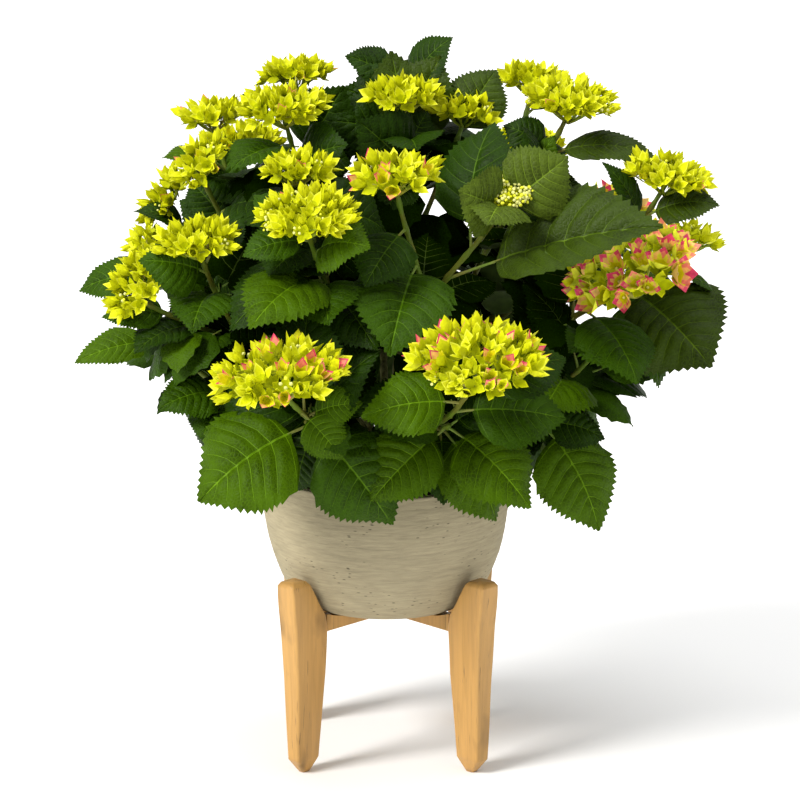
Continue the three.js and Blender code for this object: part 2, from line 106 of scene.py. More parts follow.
# Each limb is a cane and the leafy mass on its tip. A shoot is the place of its tip, the
# width of its flower head (0 for leaves only), its leaf length and the turn in degrees of
# its first pair of leaves. A reaching leaf is the number of its shoot, how far up that
# shoot it grows and the place of its tip.
LIMBS = {
    "left_top": {
        "shoots": [(-190, 60, 710, 78, 95, 20), (-202, -40, 677, 70, 95, 70),
                   (-246, 50, 618, 68, 90, 0)],
        "reaching": [(2, 0.75, -268, 15, 636), (0, 0.75, -245, 20, 668)],
    },
    "left_side": {
        "shoots": [(-200, -160, 622, 90, 105, 40), (-263, 10, 575, 62, 90, 80),
                   (-271, -100, 556, 82, 90, 30)],
        "reaching": [(0, 0.8, -262, -172, 598), (0, 0.62, -205, -208, 530),
                     (1, 0.8, -338, 10, 520), (2, 0.66, -308, -85, 515),
                     (2, 0.52, -271, -130, 488)],
    },
    "top_left": {
        "shoots": [(-110, -20, 737, 98, 100, 10), (-101, 160, 736, 80, 100, 50)],
        "reaching": [(0, 0.8, -166, -85, 680), (1, 0.6, -46, 40, 742), (0, 0.7, -42, -62, 700)],
    },
    "front_upper_left": {
        "shoots": [(-94, -110, 688, 80, 95, 60), (-83, -205, 661, 108, 110, 15)],
        "reaching": [(1, 0.72, -22, -232, 640), (1, 0.5, -152, -252, 553),
                     (1, 0.42, -60, -240, 545)],
    },
    "top": {
        "shoots": [(20, 20, 741, 86, 100, 35), (86, 60, 716, 82, 95, 0),
                   (22, 110, 742, 0, 95, 60)],
        "reaching": [(2, 0.9, 72, 92, 788), (2, 0.9, -44, 72, 771), (2, 0.7, -62, 40, 704),
                     (1, 0.85, 122, 96, 750), (0, 0.72, 34, -70, 694), (0, 0.6, -30, -44, 722)],
    },
    "top_right": {
        "shoots": [(163, 155, 730, 80, 95, 30), (201, 30, 735, 106, 105, 75)],
        "reaching": [(1, 0.72, 282, 34, 664), (0, 0.85, 210, 190, 700), (1, 0.7, 150, -30, 690)],
    },
    "front_upper_right": {
        "shoots": [(11, -160, 693, 94, 100, 70), (131, -150, 671, 52, 95, 45)],
        "reaching": [(1, 0.5, 296, -205, 632), (1, 0.9, 195, -132, 702), (1, 0.9, 78, -192, 688),
                     (1, 0.6, 108, -35, 722), (0, 0.7, -22, -205, 578), (0, 0.45, 4, -246, 512)],
    },
    "right_side": {
        "shoots": [(306, 0, 658, 96, 100, 20), (262, -90, 580, 150, 100, 65),
                   (341, 80, 566, 66, 85, 0)],
        "reaching": [(0, 0.8, 364, -18, 624), (0, 0.75, 266, -40, 642), (1, 0.5, 272, -142, 458),
                     (2, 0.55, 367, -62, 450), (2, 0.45, 300, -30, 420)],
    },
    "front_left": {
        "shoots": [(-112, -288, 512, 138, 115, 45), (-85, -188, 425, 0, 120, 10)],
        "reaching": [(0, 0.6, -45, -242, 398), (1, 0.85, -200, -208, 342), (1, 0.8, 8, -192, 310),
                     (0, 0.5, -24, -228, 456), (1, 0.7, -96, -196, 322)],
    },
    "front_right": {
        "shoots": [(97, -298, 530, 142, 115, 0), (68, -186, 420, 0, 120, 50)],
        "reaching": [(0, 0.6, -26, -252, 448), (0, 0.8, 190, -236, 506), (1, 0.8, -16, -206, 342),
                     (1, 0.9, 154, -226, 340), (1, 0.6, 120, -180, 312), (1, 0.5, 62, -204, 316),
                     (0, 0.45, 192, -202, 432)],
    },
    "right_low": {
        "shoots": [(172, -92, 400, 0, 110, 20), (240, -56, 480, 0, 115, 60),
                   (225, 60, 420, 0, 115, 30)],
        "reaching": [(0, 0.9, 232, -122, 284), (0, 0.8, 240, -82, 378), (2, 0.7, 225, 20, 322)],
    },
    "left_low": {
        "shoots": [(-180, -112, 440, 0, 105, 40), (-250, -48, 488, 0, 110, 10),
                   (-225, 60, 420, 0, 115, 75)],
        "reaching": [(0, 0.85, -244, -146, 428), (0, 0.7, -198, -158, 398),
                     (1, 0.9, -338, -72, 460), (2, 0.7, -195, 40, 328)],
    },
    "back_left": {
        "shoots": [(-165, 205, 650, 92, 110, 25), (-232, 185, 540, 86, 110, 60),
                   (-150, 196, 425, 0, 120, 5)],
        "reaching": [(2, 0.85, -205, 232, 330), (1, 0.5, -300, 140, 470)],
    },
    "back": {
        "shoots": [(5, 238, 692, 100, 110, 50), (-25, 296, 556, 112, 115, 15),
                   (0, 200, 420, 0, 120, 70)],
        "reaching": [(2, 0.85, -40, 245, 315), (2, 0.8, 70, 240, 330)],
    },
    "back_right": {
        "shoots": [(160, 248, 636, 90, 110, 0), (262, 190, 575, 84, 110, 45),
                   (160, 190, 425, 0, 120, 30)],
        "reaching": [(2, 0.85, 205, 235, 330), (1, 0.5, 310, 120, 470)],
    },
}
# The limbs whose leaves and blossom are joined into one piece.
SIDES = {
    "left": ("left_top", "left_side", "left_low", "back_left"),
    "front": ("front_upper_left", "front_left", "front_right", "front_upper_right"),
    "right": ("right_side", "right_low", "back_right", "top_right"),
    "top": ("top_left", "top", "back"),
}

# Reaching leaves that differ from the rest, by limb and row. Wide is the half width as a share
# of the reach, face is the way the upper side looks, share is how far up its shoot a leaf
# grows, and fold, arch, quilt and stalk are as in random_habit and list_leaves.
LEAF_LOOKS = {
    ("front_upper_right", 0): dict(tone=OLIVE, wide=0.25, face=(0.05, -0.55, 0.85), fold=0.55,
                                   arch=0.03, quilt=0.1, stalk=0.25, share=0.36,
                                   tip=(289, -205, 649)),
    ("front_upper_right", 1): dict(tone=YOUNG, wide=0.46, face=(0.2, -0.9, 0.4)),
    ("front_upper_right", 2): dict(tone=YOUNG, wide=0.52, face=(-0.1, -0.9, 0.35),
                                   tip=(78, -194, 678)),
    ("front_upper_right", 3): dict(tone=DEEP_SHADE, wide=0.3, face=(-0.5, -0.8, 0.4),
                                   tip=(116, -35, 722)),
    ("top", 0): dict(tone=DEEP_SHADE, wide=0.36, face=(-0.5, -0.6, 0.8)),
    ("top", 1): dict(tone=DEEP_SHADE, wide=0.36, face=(0.4, -0.6, 0.8)),
    ("top", 2): dict(tone=DEEP_SHADE, wide=0.42, face=(0.3, -0.9, 0.3)),
    ("top", 5): dict(tone=DEEP_SHADE, wide=0.38, face=(0.1, -0.9, 0.4)),
    ("top_left", 1): dict(tone=DEEP_SHADE, wide=0.4, face=(0.0, -0.9, 0.5)),
    ("top_left", 2): dict(tone=DEEP_SHADE, wide=0.4, face=(0.0, -0.9, 0.5)),
    ("top_right", 0): dict(tone=OLIVE, wide=0.22, face=(0.2, -0.4, 0.9), tip=(298, 20, 668)),
    ("right_side", 1): dict(tone=DEEP_SHADE, wide=0.2, face=(0.6, -0.7, 0.4), tip=(236, -20, 672)),
    ("left_side", 0): dict(tone=MID, wide=0.44, face=(-0.2, -0.9, 0.6)),
    ("front_upper_left", 0): dict(tone=FRESH, wide=0.4, face=(0.2, -0.8, 0.7),
                                  tip=(-16, -236, 628)),
    ("front_upper_left", 1): dict(tone=FRESH, wide=0.34, face=(-0.2, -0.7, 0.8), share=0.45,
                                  tip=(-143, -252, 545)),
    ("front_left", 1): dict(tone=FRESH, wide=0.46),
    ("right_side", 3): dict(tone=OLIVE, wide=0.48, face=(0.2, -0.9, 0.4), tip=(354, -62, 452)),
    ("left_top", 0): dict(tone=DEEP_SHADE, wide=0.3, tip=(-277, 30, 606)),
    ("front_left", 2): dict(tone=MID),
    ("front_left", 4): dict(tone=DEEP_SHADE, wide=0.45, tip=(-96, -168, 342)),
    ("front_right", 5): dict(tone=DEEP_SHADE, tip=(62, -200, 336)),
    ("left_low", 2): dict(tone=FRESH, wide=0.24, face=(-0.2, -0.6, 0.7)),
    ("left_side", 2): dict(tone=MID, wide=0.26, face=(-0.2, -0.6, 0.7)),
    ("left_side", 3): dict(tone=MID, wide=0.3, face=(-0.2, -0.6, 0.7)),
}
# Leaves that fill in behind the gaps: limb, shoot, how far up it, tip, half width as a share
# of the reach, and tone. Most take the dark deep or inner tone: painted shade behind the gaps.
FILLING_LEAVES = (
    ("front_right", 1, 0.5, 40, -60, 372, 0.4, INNER_SHADE),
    ("front_right", 1, 0.6, 96, -70, 380, 0.4, INNER_SHADE),
    ("front_right", 0, 0.35, 20, -90, 420, 0.4, INNER_SHADE),
    ("front_left", 1, 0.6, -20, -80, 380, 0.4, INNER_SHADE),
    ("front_left", 0, 0.5, -60, -90, 470, 0.4, INNER_SHADE), ("top", 0, 0.55, -4, -24, 586, 0.4, INNER_SHADE),
    ("front_upper_left", 1, 0.4, -20, -90, 560, 0.4, INNER_SHADE),
    ("top_left", 0, 0.5, -60, 20, 640, 0.4, INNER_SHADE), ("top", 2, 0.6, -20, 60, 700, 0.4, DEEP_SHADE),
    ("top", 2, 0.5, 70, 50, 680, 0.4, DEEP_SHADE), ("top_right", 1, 0.5, 130, 60, 650, 0.4, DEEP_SHADE),
    ("left_side", 0, 0.5, -150, -120, 560, 0.4, DEEP_SHADE),
    ("right_side", 1, 0.4, 180, -60, 470, 0.4, INNER_SHADE), ("top", 0, 0.7, 46, 40, 716, 0.4, DEEP_SHADE),
    ("top_left", 0, 0.6, -40, 10, 656, 0.4, DEEP_SHADE), ("left_top", 1, 0.6, -214, 20, 640, 0.4, DEEP_SHADE),
    ("left_top", 0, 0.6, -196, 70, 668, 0.4, MID), ("top_right", 1, 0.6, 160, 70, 690, 0.4, DEEP_SHADE),
    ("top", 2, 0.74, -47, 62, 736, 0.42, DEEP_SHADE), ("top", 2, 0.55, 6, 80, 774, 0.42, OLIVE),
    ("top", 2, 0.7, 60, 80, 768, 0.42, OLIVE), ("top", 2, 0.66, -28, 74, 762, 0.42, DEEP_SHADE),
    ("top_left", 0, 0.45, -22, 0, 625, 0.45, DEEP_SHADE), ("top", 0, 0.6, 0, -10, 610, 0.42, DEEP_SHADE),
    ("front_right", 0, 0.5, 46, -150, 470, 0.42, INNER_SHADE),
    ("front_upper_right", 1, 0.9, 108, -215, 648, 0.52, YOUNG),
    ("top_right", 1, 0.75, 128, 40, 700, 0.42, DEEP_SHADE),
    ("top_right", 1, 0.72, 196, 60, 668, 0.4, DEEP_SHADE),
    ("front_upper_left", 0, 0.8, 2, -70, 606, 0.42, DEEP_SHADE),
    ("right_low", 0, 0.35, 52, -96, 380, 0.5, DEEP_SHADE), ("back", 2, 0.6, -30, 90, 440, 0.45, INNER_SHADE),
    ("back", 1, 0.4, -90, 110, 470, 0.45, INNER_SHADE), ("back", 0, 0.4, 40, 100, 520, 0.45, INNER_SHADE),
    ("top", 1, 0.35, 100, 60, 552, 0.34, INNER_SHADE), ("back_right", 0, 0.4, 110, 90, 540, 0.5, INNER_SHADE),
    ("top_left", 0, 0.35, 10, 20, 585, 0.45, INNER_SHADE), ("top", 0, 0.4, 50, 0, 540, 0.42, INNER_SHADE),
    ("top_left", 0, 0.75, -36, 10, 664, 0.45, DEEP_SHADE),
    ("left_top", 1, 0.5, -226, 10, 622, 0.4, DEEP_SHADE),
    ("top_right", 1, 0.6, 184, 30, 690, 0.36, FRESH), ("top", 0, 0.35, 62, 40, 520, 0.5, INNER_SHADE),
)
# Heads that lean their own way, by limb and shoot.
HEAD_AXES = {
    ("right_side", 1): (-0.35, -0.22, 0.92), ("front_left", 0): (-0.1, -0.16, 0.9),
    ("front_right", 0): (0.0, -0.22, 0.9), ("front_upper_right", 1): (0.0, -0.4, 0.85),
    ("left_top", 1): (-0.6, -0.45, 0.7), ("left_top", 2): (-0.75, -0.3, 0.6),
    ("left_side", 1): (-0.7, -0.35, 0.6), ("left_side", 2): (-0.7, -0.45, 0.6),
}
# The clearance between one solid and the next.
GAP = 0.3
# The compost's middle and rim heights, and its radius.
SOIL_TOP, SOIL_RIM, SOIL_EDGE = 304, 299, 120
# The stump: its height, its radii from foot to top and how far its top leans.
STUMP_HEIGHT, STUMP_RADII, STUMP_LEAN = 30, (33, 27, 24, 25), 2
# A cane: how far it goes towards its shoots' tips, how much it bows, and its radii at both ends.
CANE_SHARE, CANE_BOW, CANE_RADII = 0.46, 12, (4.4, 3.4)
# Rings of canes on the stump: radius and number.
CANE_RINGS = ((6.5, 3), (18, 12))
# The length of the stub above a cane, where its shoots part.
STUB = 14
# How far below a head's middle its shoot ends, as a share of the head's width.
HEAD_STEM_DEPTH = 0.15
# The joints of a shoot: how far up it each pair of leaves stands, and the pair's size.
PAIRS = ((0.22, 0.95), (0.38, 1.05), (0.54, 1.12), (0.7, 1.02), (0.86, 0.72))
# Where small side twigs leave a shoot, and how many stand at each place.
TWIG_SHARES, TWIGS_EACH = (0.12, 0.25, 0.4, 0.55, 0.68), 3
# The crown's middle, half sizes and lowest leaf, and how far back the light turns leaves.
CROWN_CENTRE = np.array([13.0, 0.0, 530.0])
CROWN_HALF = np.array([345.0, 325.0, 262.0])
CROWN_FLOOR, LIGHT_REACH = 296, 130
# Room kept before a main leaf: its radius as a share of the leaf, and where it starts.
CLEAR_SHARE, CLEAR_ABOVE = 0.24, 6
# The way to the light that leaves turn to, and the stream of every random draw.
LIGHT = np.array([0.0, -0.966, 0.259])
UP = np.array([0.0, 0.0, 1.0])
STREAM = random.Random(20817)
# Places where the crown stands open: middle and reach each way.
HOLLOWS = (
    ((115, -160, 572), (80, 90, 52)),
    ((-262, 0, 495), (30, 60, 24)),
    ((222, -60, 508), (28, 70, 26)),
    ((282, -40, 523), (22, 60, 18)),
)
# Gaps that run through the crown, down towards its back: side place and height, then the
# reach each way.
GAP_SLOPE = 0.268
GAPS = (((222, 495), (16, 20)), ((281, 512), (14, 16)), ((54, 608), (18, 24)),
        ((-265, 495), (20, 18)))


def vec(*numbers):
    return np.array(numbers, float)


def unit(vector):
    return vector / max(np.linalg.norm(vector), 1e-9)


def lerp(start, end, share):
    return start + (end - start) * share


def across(direction, reference):
    """A unit vector square to two others."""
    side = np.cross(direction, reference)
    return vec(1, 0, 0) if side @ side < 1e-6 else unit(side)


def spoke(side, other, angle):
    """The way a spoke points at an angle from one direction towards another."""
    return side * math.cos(angle) + other * math.sin(angle)


def polar(radius, angle, height=0.0):
    """A place by its distance from the axis, its bearing and its height."""
    return vec(radius * math.cos(angle), radius * math.sin(angle), height)


def all_round(count):
    """Angles spread evenly round a circle."""
    return np.arange(count) / count * math.tau


def noise_around(angle, spread, height):
    """Smooth noise on a cylinder of some radius."""
    return noise.noise(Vector((math.cos(angle) * spread, math.sin(angle) * spread, height)))


class Curve:
    """A Bezier curve of any degree."""

    def __init__(self, *points):
        self.points = [np.asarray(point, float) for point in points]

    def _blend(self, points, share):
        share = np.asarray(share, float)[..., None]
        while len(points) > 1:
            points = [a + (b - a) * share for a, b in zip(points, points[1:])]
        return points[0] + 0 * share

    def at(self, share):
        return self._blend(self.points, share)

    def heading(self, share):
        steps = [b - a for a, b in zip(self.points, self.points[1:])]
        along = self._blend(steps, share)
        return along / np.linalg.norm(along, axis=-1, keepdims=True)


def middle_of(shoots):
    return np.mean([shoot[:3] for shoot in shoots], axis=0)


def cane_roots():
    """Canes stand in two rings on the stump: the steepest inside, the rest by bearing."""
    places = []
    for name, limb in LIMBS.items():
        x, y, _ = middle_of(limb["shoots"])
        places.append((math.hypot(x, y), math.atan2(y, x), name))
    places.sort(key=lambda place: place[0])
    roots = {}
    height = SOIL_TOP + STUMP_HEIGHT + 2 * GAP
    for radius, count in CANE_RINGS:
        here, places = sorted(places[:count], key=lambda place: place[1]), places[count:]
        for (_, _, name), angle in zip(here, here[0][1] + all_round(len(here))):
            roots[name] = polar(radius, angle, height) + vec(STUMP_LEAN, 0, 0)
    return roots


def cane_curve(root, shoots):
    """A cane rises from the stump and bows towards the middle of its shoots' tips."""
    tip = lerp(root, middle_of(shoots), CANE_SHARE)
    rise = vec(root[0], root[1], lerp(root[2], tip[2], 0.4))
    bend = lerp(root, tip, 0.55) + UP * CANE_BOW
    return Curve(root, rise, bend, tip)


def shoot_curve(start, heading, shoot):
    """A shoot leaves its cane along the cane's way and comes up under its own tip."""
    x, y, z, head = shoot[:4]
    tip = vec(x, y, z - head * HEAD_STEM_DEPTH)
    distance = np.linalg.norm(tip - start)
    leave = start + heading * distance * 0.35
    arrive = lerp(tip, start, 0.25) - UP * distance * 0.08
    return Curve(start, leave, arrive, tip)


def inside_crown(point, share=1.0):
    """True inside the crown's rounded form, or inside a share of it, above the lowest leaf."""
    off = (point - CROWN_CENTRE) / (CROWN_HALF * share)
    return point[2] > CROWN_FLOOR and (off ** 2).sum() < 1


def grow_limbs():
    """Every limb's cane, and its shoots with their curves, by the seeded rule."""
    roots = cane_roots()
    grown = {}
    for name, limb in LIMBS.items():
        cane = cane_curve(roots[name], limb["shoots"])
        heading = cane.heading(1.0)
        start = cane.at(1.0) + heading * GAP
        shoots = []
        for index, shoot in enumerate(limb["shoots"]):
            split = start + heading * STUB * (0.3 + 0.2 * index)
            shoots.append(shoot_curve(split, heading, shoot))
        grown[name] = {"cane": cane, "start": start, "heading": heading, "shoots": shoots}
    return grown


GROWN = grow_limbs()
HEADS = [
    (name, index, vec(*shoot[:3]), shoot[3])
    for name, limb in LIMBS.items()
    for index, shoot in enumerate(limb["shoots"])
    if shoot[3]
]


# ------------------------------------------------------------------------------ mesh making

class Sheaf:
    """Many closed skins gathered into one mesh, each face with the number of its material."""

    def __init__(self):
        self.points, self.faces, self.tones, self.count = [], [], [], 0

    def add(self, points, faces, tones):
        self.points.append(points)
        self.faces.append(faces + self.count)
        self.tones.append(np.broadcast_to(tones, len(faces)))
        self.count += len(points)


def in_box(points):
    """Points in the frame, moved where they would pass the CAD box."""
    low, high = (np.array(corner[:]) for corner in CAD_BOX)
    return np.clip(points, low + BOX_MARGIN, high - BOX_MARGIN)


def place(points):
    """Millimetres round the pot's axis to metres in the frame, held inside the CAD box."""
    return in_box(np.asarray(points) * MM + AXIS)


def mesh_from(name, points, faces, tones, materials):
    """A smooth mesh of triangles, each with the number of its material."""
    mesh = bpy.data.meshes.new(name)
    mesh.vertices.add(len(points))
    mesh.vertices.foreach_set("co", np.asarray(points, np.float32).ravel())
    mesh.loops.add(3 * len(faces))
    mesh.loops.foreach_set("vertex_index", np.asarray(faces, np.int32).ravel())
    mesh.polygons.add(len(faces))
    mesh.polygons.foreach_set("loop_start", np.arange(0, 3 * len(faces), 3, dtype=np.int32))
    mesh.polygons.foreach_set("material_index", np.asarray(tones, np.int32))
    mesh.polygons.foreach_set("use_smooth", np.full(len(faces), True))
    for material in materials:
        mesh.materials.append(material)
    mesh.update()
    mesh.validate()
    return mesh


def piece_from(name, sheaf, materials):
    """A piece in the scene from a sheaf in millimetres."""
    points = place(np.concatenate(sheaf.points))
    faces, tones = np.concatenate(sheaf.faces), np.concatenate(sheaf.tones)
    return linked(name, mesh_from(name, points, faces, tones, materials))


def piece_of_rings(name, rings, finish):
    """A piece in the scene from the rings of one closed skin."""
    sheaf = Sheaf()
    sheaf.add(*skin(rings), 0)
    return piece_from(name, sheaf, [finish])


def linked(name, mesh):
    piece = bpy.data.objects.new(name, mesh)
    bpy.context.scene.collection.objects.link(piece)
    return piece


def settle(piece, slot, *nodes):
    """Hangs a piece on the root body and hides the nodes it replaces. The slot is not used."""
    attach(piece, "root")
    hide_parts(*nodes)


def grid_faces(rows, columns):
    """Triangles over a grid of points whose rows are rings."""
    faces = []
    for row in range(rows - 1):
        for column in range(columns):
            a = row * columns + column
            b = row * columns + (column + 1) % columns
            faces += [(a, b, b + columns), (a, b + columns, a + columns)]
    return faces


def skin(rings):
    """A closed skin over rings of points, each anticlockwise seen from its front."""
    rings = np.asarray(rings)
    rows, columns, _ = rings.shape
    points = np.concatenate([rings.reshape(-1, 3), rings[:1].mean(1), rings[-1:].mean(1)])
    faces = grid_faces(rows, columns)
    foot, top = rows * columns, rows * columns + 1
    last = (rows - 1) * columns
    for column in range(columns):
        after = (column + 1) % columns
        faces += [(foot, after, column), (top, last + column, last + after)]
    return points, np.array(faces)


def tube(centres, radii, sides):
    """A round limb through a row of points."""
    centres = np.asarray(centres)
    tangents = np.gradient(centres, axis=0)
    side = across(unit(tangents[0]), vec(0.3, 1, 0.1))
    angles = all_round(sides)
    rings = []
    for centre, tangent, radius in zip(centres, tangents, radii):
        tangent = unit(tangent)
        side = unit(side - tangent * (side @ tangent))
        other = np.cross(tangent, side)
        radius = np.broadcast_to(radius, sides)[:, None]
        around = np.outer(np.cos(angles), side) + np.outer(np.sin(angles), other)
        rings.append(centre + radius * around)
    return skin(rings)


# -------------------------------------------------------------------------------- materials

class Finish:
    """A procedural material on object coordinates."""

    def __init__(self, name, colour, roughness, specular):
        self.material = bpy.data.materials.new(name)
        self.material.use_nodes = True
        self.nodes = self.material.node_tree.nodes
        self.links = self.material.node_tree.links
        self.shader = self.nodes["Principled BSDF"]
        self.place = self.nodes.new("ShaderNodeTexCoord").outputs["Object"]
        self.feed("Base Color", colour)
        self.feed("Roughness", roughness)
        self.feed("Specular IOR Level", specular)

    def feed(self, label, source, node=None):
        """Links an output to an input, or sets the input to a number or a colour."""
        socket = (node or self.shader).inputs[label]
        if isinstance(source, bpy.types.NodeSocket):
            self.links.new(source, socket)
        elif socket.type == "RGBA":
            socket.default_value = (*source, 1)
        else:
            socket.default_value = source
        return self

    def node(self, kind, sources):
        """A new node, with some of its inputs fed."""
        node = self.nodes.new(kind)
        for label, source in sources.items():
            self.feed(label, source, node)
        return node

    def stretched(self, scale, turn=(0, 0, 0)):
        """Object coordinates turned, and drawn out where the scale is small."""
        fed = {"Scale": scale, "Rotation": turn, "Vector": self.place}
        return self.node("ShaderNodeMapping", fed).outputs["Vector"]

    def noise(self, scale, detail, roughness=0.5, place=None, distortion=0.0):
        fed = {"Scale": scale, "Detail": detail, "Roughness": roughness,
               "Distortion": distortion, "Vector": place or self.place}
        return self.node("ShaderNodeTexNoise", fed).outputs["Fac"]

    def cells(self, scale, feature="F1", place=None):
        node = self.node("ShaderNodeTexVoronoi", {"Scale": scale, "Vector": place or self.place})
        node.feature = feature
        return node.outputs["Distance"]

    def ramp(self, source, *stops):
        node = self.node("ShaderNodeValToRGB", {"Fac": source})
        elements = node.color_ramp.elements
        while len(elements) < len(stops):
            elements.new(0.5)
        for element, (position, colour) in zip(elements, stops):
            element.position = position
            element.color = (*colour, 1)
        return node.outputs["Color"]

    def shades(self, source, colour, *stops):
        """A ramp of darker and lighter shades of one colour."""
        return self.ramp(source, *((position, shade(colour, light)) for position, light in stops))

    def mask(self, source, low, high):
        fed = {"From Min": low, "From Max": high, "Value": source}
        return self.node("ShaderNodeMapRange", fed).outputs["Result"]

    def mix(self, factor, first, second):
        """A mix of two colours, fed by number because some inputs share their names."""
        node = self.nodes.new("ShaderNodeMix")
        node.data_type = "RGBA"
        for number, source in ((0, factor), (6, first), (7, second)):
            self.feed(number, source, node)
        return node.outputs[2]

    def maths(self, operation, first, second):
        node = self.node("ShaderNodeMath", {0: first, 1: second})
        node.operation = operation
        return node.outputs[0]

    def bump(self, height, distance, strength):
        node = self.node("ShaderNodeBump", {"Distance": distance, "Strength": strength,
                                            "Height": height})
        return self.feed("Normal", node.outputs["Normal"])


def shade(colour, amount):
    return tuple(channel * amount for channel in colour)


def leaf_finish(name, colour, gloss):
    """A blade with broad lighter and darker flesh and a fine net of veins."""
    finish = Finish(name, colour, 0.48, gloss)
    flesh = finish.shades(finish.noise(38, 2), colour, (0.3, 0.66), (0.5, 1), (0.72, 1.3))
    net = finish.cells(240, "DISTANCE_TO_EDGE")
    finish.feed("Base Color", finish.mix(finish.mask(net, 0.0, 0.14), shade(colour, 1.3), flesh))
    relief = finish.maths("ADD", finish.mask(net, 0.0, 0.3), finish.noise(160, 3))
    return finish.bump(relief, 0.001, 0.36).material


def plain_finish(name, colour, roughness, grain=90):
    finish = Finish(name, colour, roughness, 0.12)
    speckle = finish.shades(finish.noise(grain, 3), colour, (0.3, 0.8), (0.7, 1.15))
    finish.feed("Base Color", speckle)
    return finish.bump(finish.noise(grain * 4, 2), 0.0003, 0.5).material


def stem_finish(name, colour, blush):
    finish = Finish(name, colour, 0.5, 0.2)
    finish.feed("Base Color", finish.ramp(finish.noise(26, 3), (0.42, colour), (0.62, blush)))
    fibres = finish.noise(500, 2, place=finish.stretched((1, 1, 0.15)))
    return finish.bump(fibres, 0.0004, 0.5).material


def clay_finish():
    """Clay with brushed level strokes, clouds and sparse small pits that are painted dark as shade
    inside them.
    """
    tone = tuple(bpy.context.scene.hydrangea.clay)
    finish = Finish("fibre_clay", tone, 0.85, 0.25)
    brushed = finish.noise(60, 6, 0.7, finish.stretched((0.42, 0.42, 3.4)), 0.5)
    strokes = finish.noise(150, 4, 0.6, finish.stretched((0.3, 0.3, 3.0)), 0.4)
    clouds = finish.noise(11, 4, 0.6)
    base = finish.shades(brushed, tone, (0.28, 0.66), (0.5, 1), (0.72, 1.24))
    lined = finish.mix(0.5, base, finish.shades(strokes, tone, (0.34, 0.6), (0.62, 1.2)))
    cloudy = finish.mix(0.35, lined, finish.shades(clouds, tone, (0.3, 0.78), (0.7, 1.2)))
    pits = finish.mask(finish.cells(170, place=finish.stretched((0.5, 0.5, 1.7))), 0.09, 0.19)
    sparse = finish.mask(finish.noise(22, 2), 0.56, 0.48)
    smooth = finish.maths("MAXIMUM", pits, sparse)
    # Painted shade: the pits are darkened to a third of the clay's tone.
    pit_shaded_clay = finish.mix(finish.maths("SUBTRACT", 1.0, smooth), cloudy, shade(tone, 0.34))
    finish.feed("Base Color", pit_shaded_clay)
    relief = finish.maths("ADD", brushed, finish.maths("MULTIPLY", smooth, 0.6))
    return finish.bump(relief, 0.0012, 0.7).material


def wood_finish(name, turn=(0, 0, 0)):
    """Oiled wood whose grain runs upright, or another way when turned, with darker marks."""
    tone = tuple(bpy.context.scene.hydrangea.wood)
    finish = Finish(name, tone, 0.55, 0.35)
    along = finish.stretched((1, 1, 0.06), turn)
    grain = finish.noise(190, 5, 0.6, along, 0.5)
    broad = finish.noise(26, 3, 0.5, along, 1.4)
    base = finish.shades(broad, tone, (0.3, 0.7), (0.5, 1), (0.7, 1.1))
    lined = finish.mix(0.3, base, finish.shades(grain, tone, (0.36, 0.62), (0.6, 1.12)))
    fine = finish.noise(520, 2, place=finish.stretched((1, 1, 0.04), turn))
    pores = finish.mask(fine, 0.27, 0.33)
    stained = finish.mix(pores, shade(tone, 0.5), lined)
    patches = finish.noise(24, 3, 0.55, finish.stretched((1, 1, 0.35), turn))
    marks = finish.mask(patches, 0.58, 0.74)
    finish.feed("Base Color", finish.mix(marks, stained, shade(tone, 0.42)))
    finish.feed("Roughness", finish.mask(grain, -0.3, 1.9))
    return finish.bump(finish.maths("ADD", grain, pores), 0.0004, 0.4).material


def bark_finish():
    finish = Finish("cane_bark", (0.13, 0.13, 0.04), 0.75, 0.2)
    strips = finish.noise(180, 4, 0.6, finish.stretched((1, 1, 0.16)))
    finish.feed("Base Color", finish.ramp(strips, (0.32, (0.05, 0.045, 0.015)),
                                          (0.5, (0.12, 0.12, 0.035)), (0.7, (0.2, 0.2, 0.07))))
    return finish.bump(strips, 0.0012, 0.8).material


def compost_finish():
    finish = Finish("compost", (0.03, 0.018, 0.01), 0.95, 0.15)
    crumbs = finish.noise(260, 5, 0.7)
    finish.feed("Base Color", finish.ramp(crumbs, (0.3, (0.008, 0.005, 0.003)),
                                          (0.6, (0.035, 0.02, 0.011)), (0.75, (0.09, 0.055, 0.03))))
    return finish.bump(crumbs, 0.002, 0.9).material


# ----------------------------------------------------------------------------------- leaves

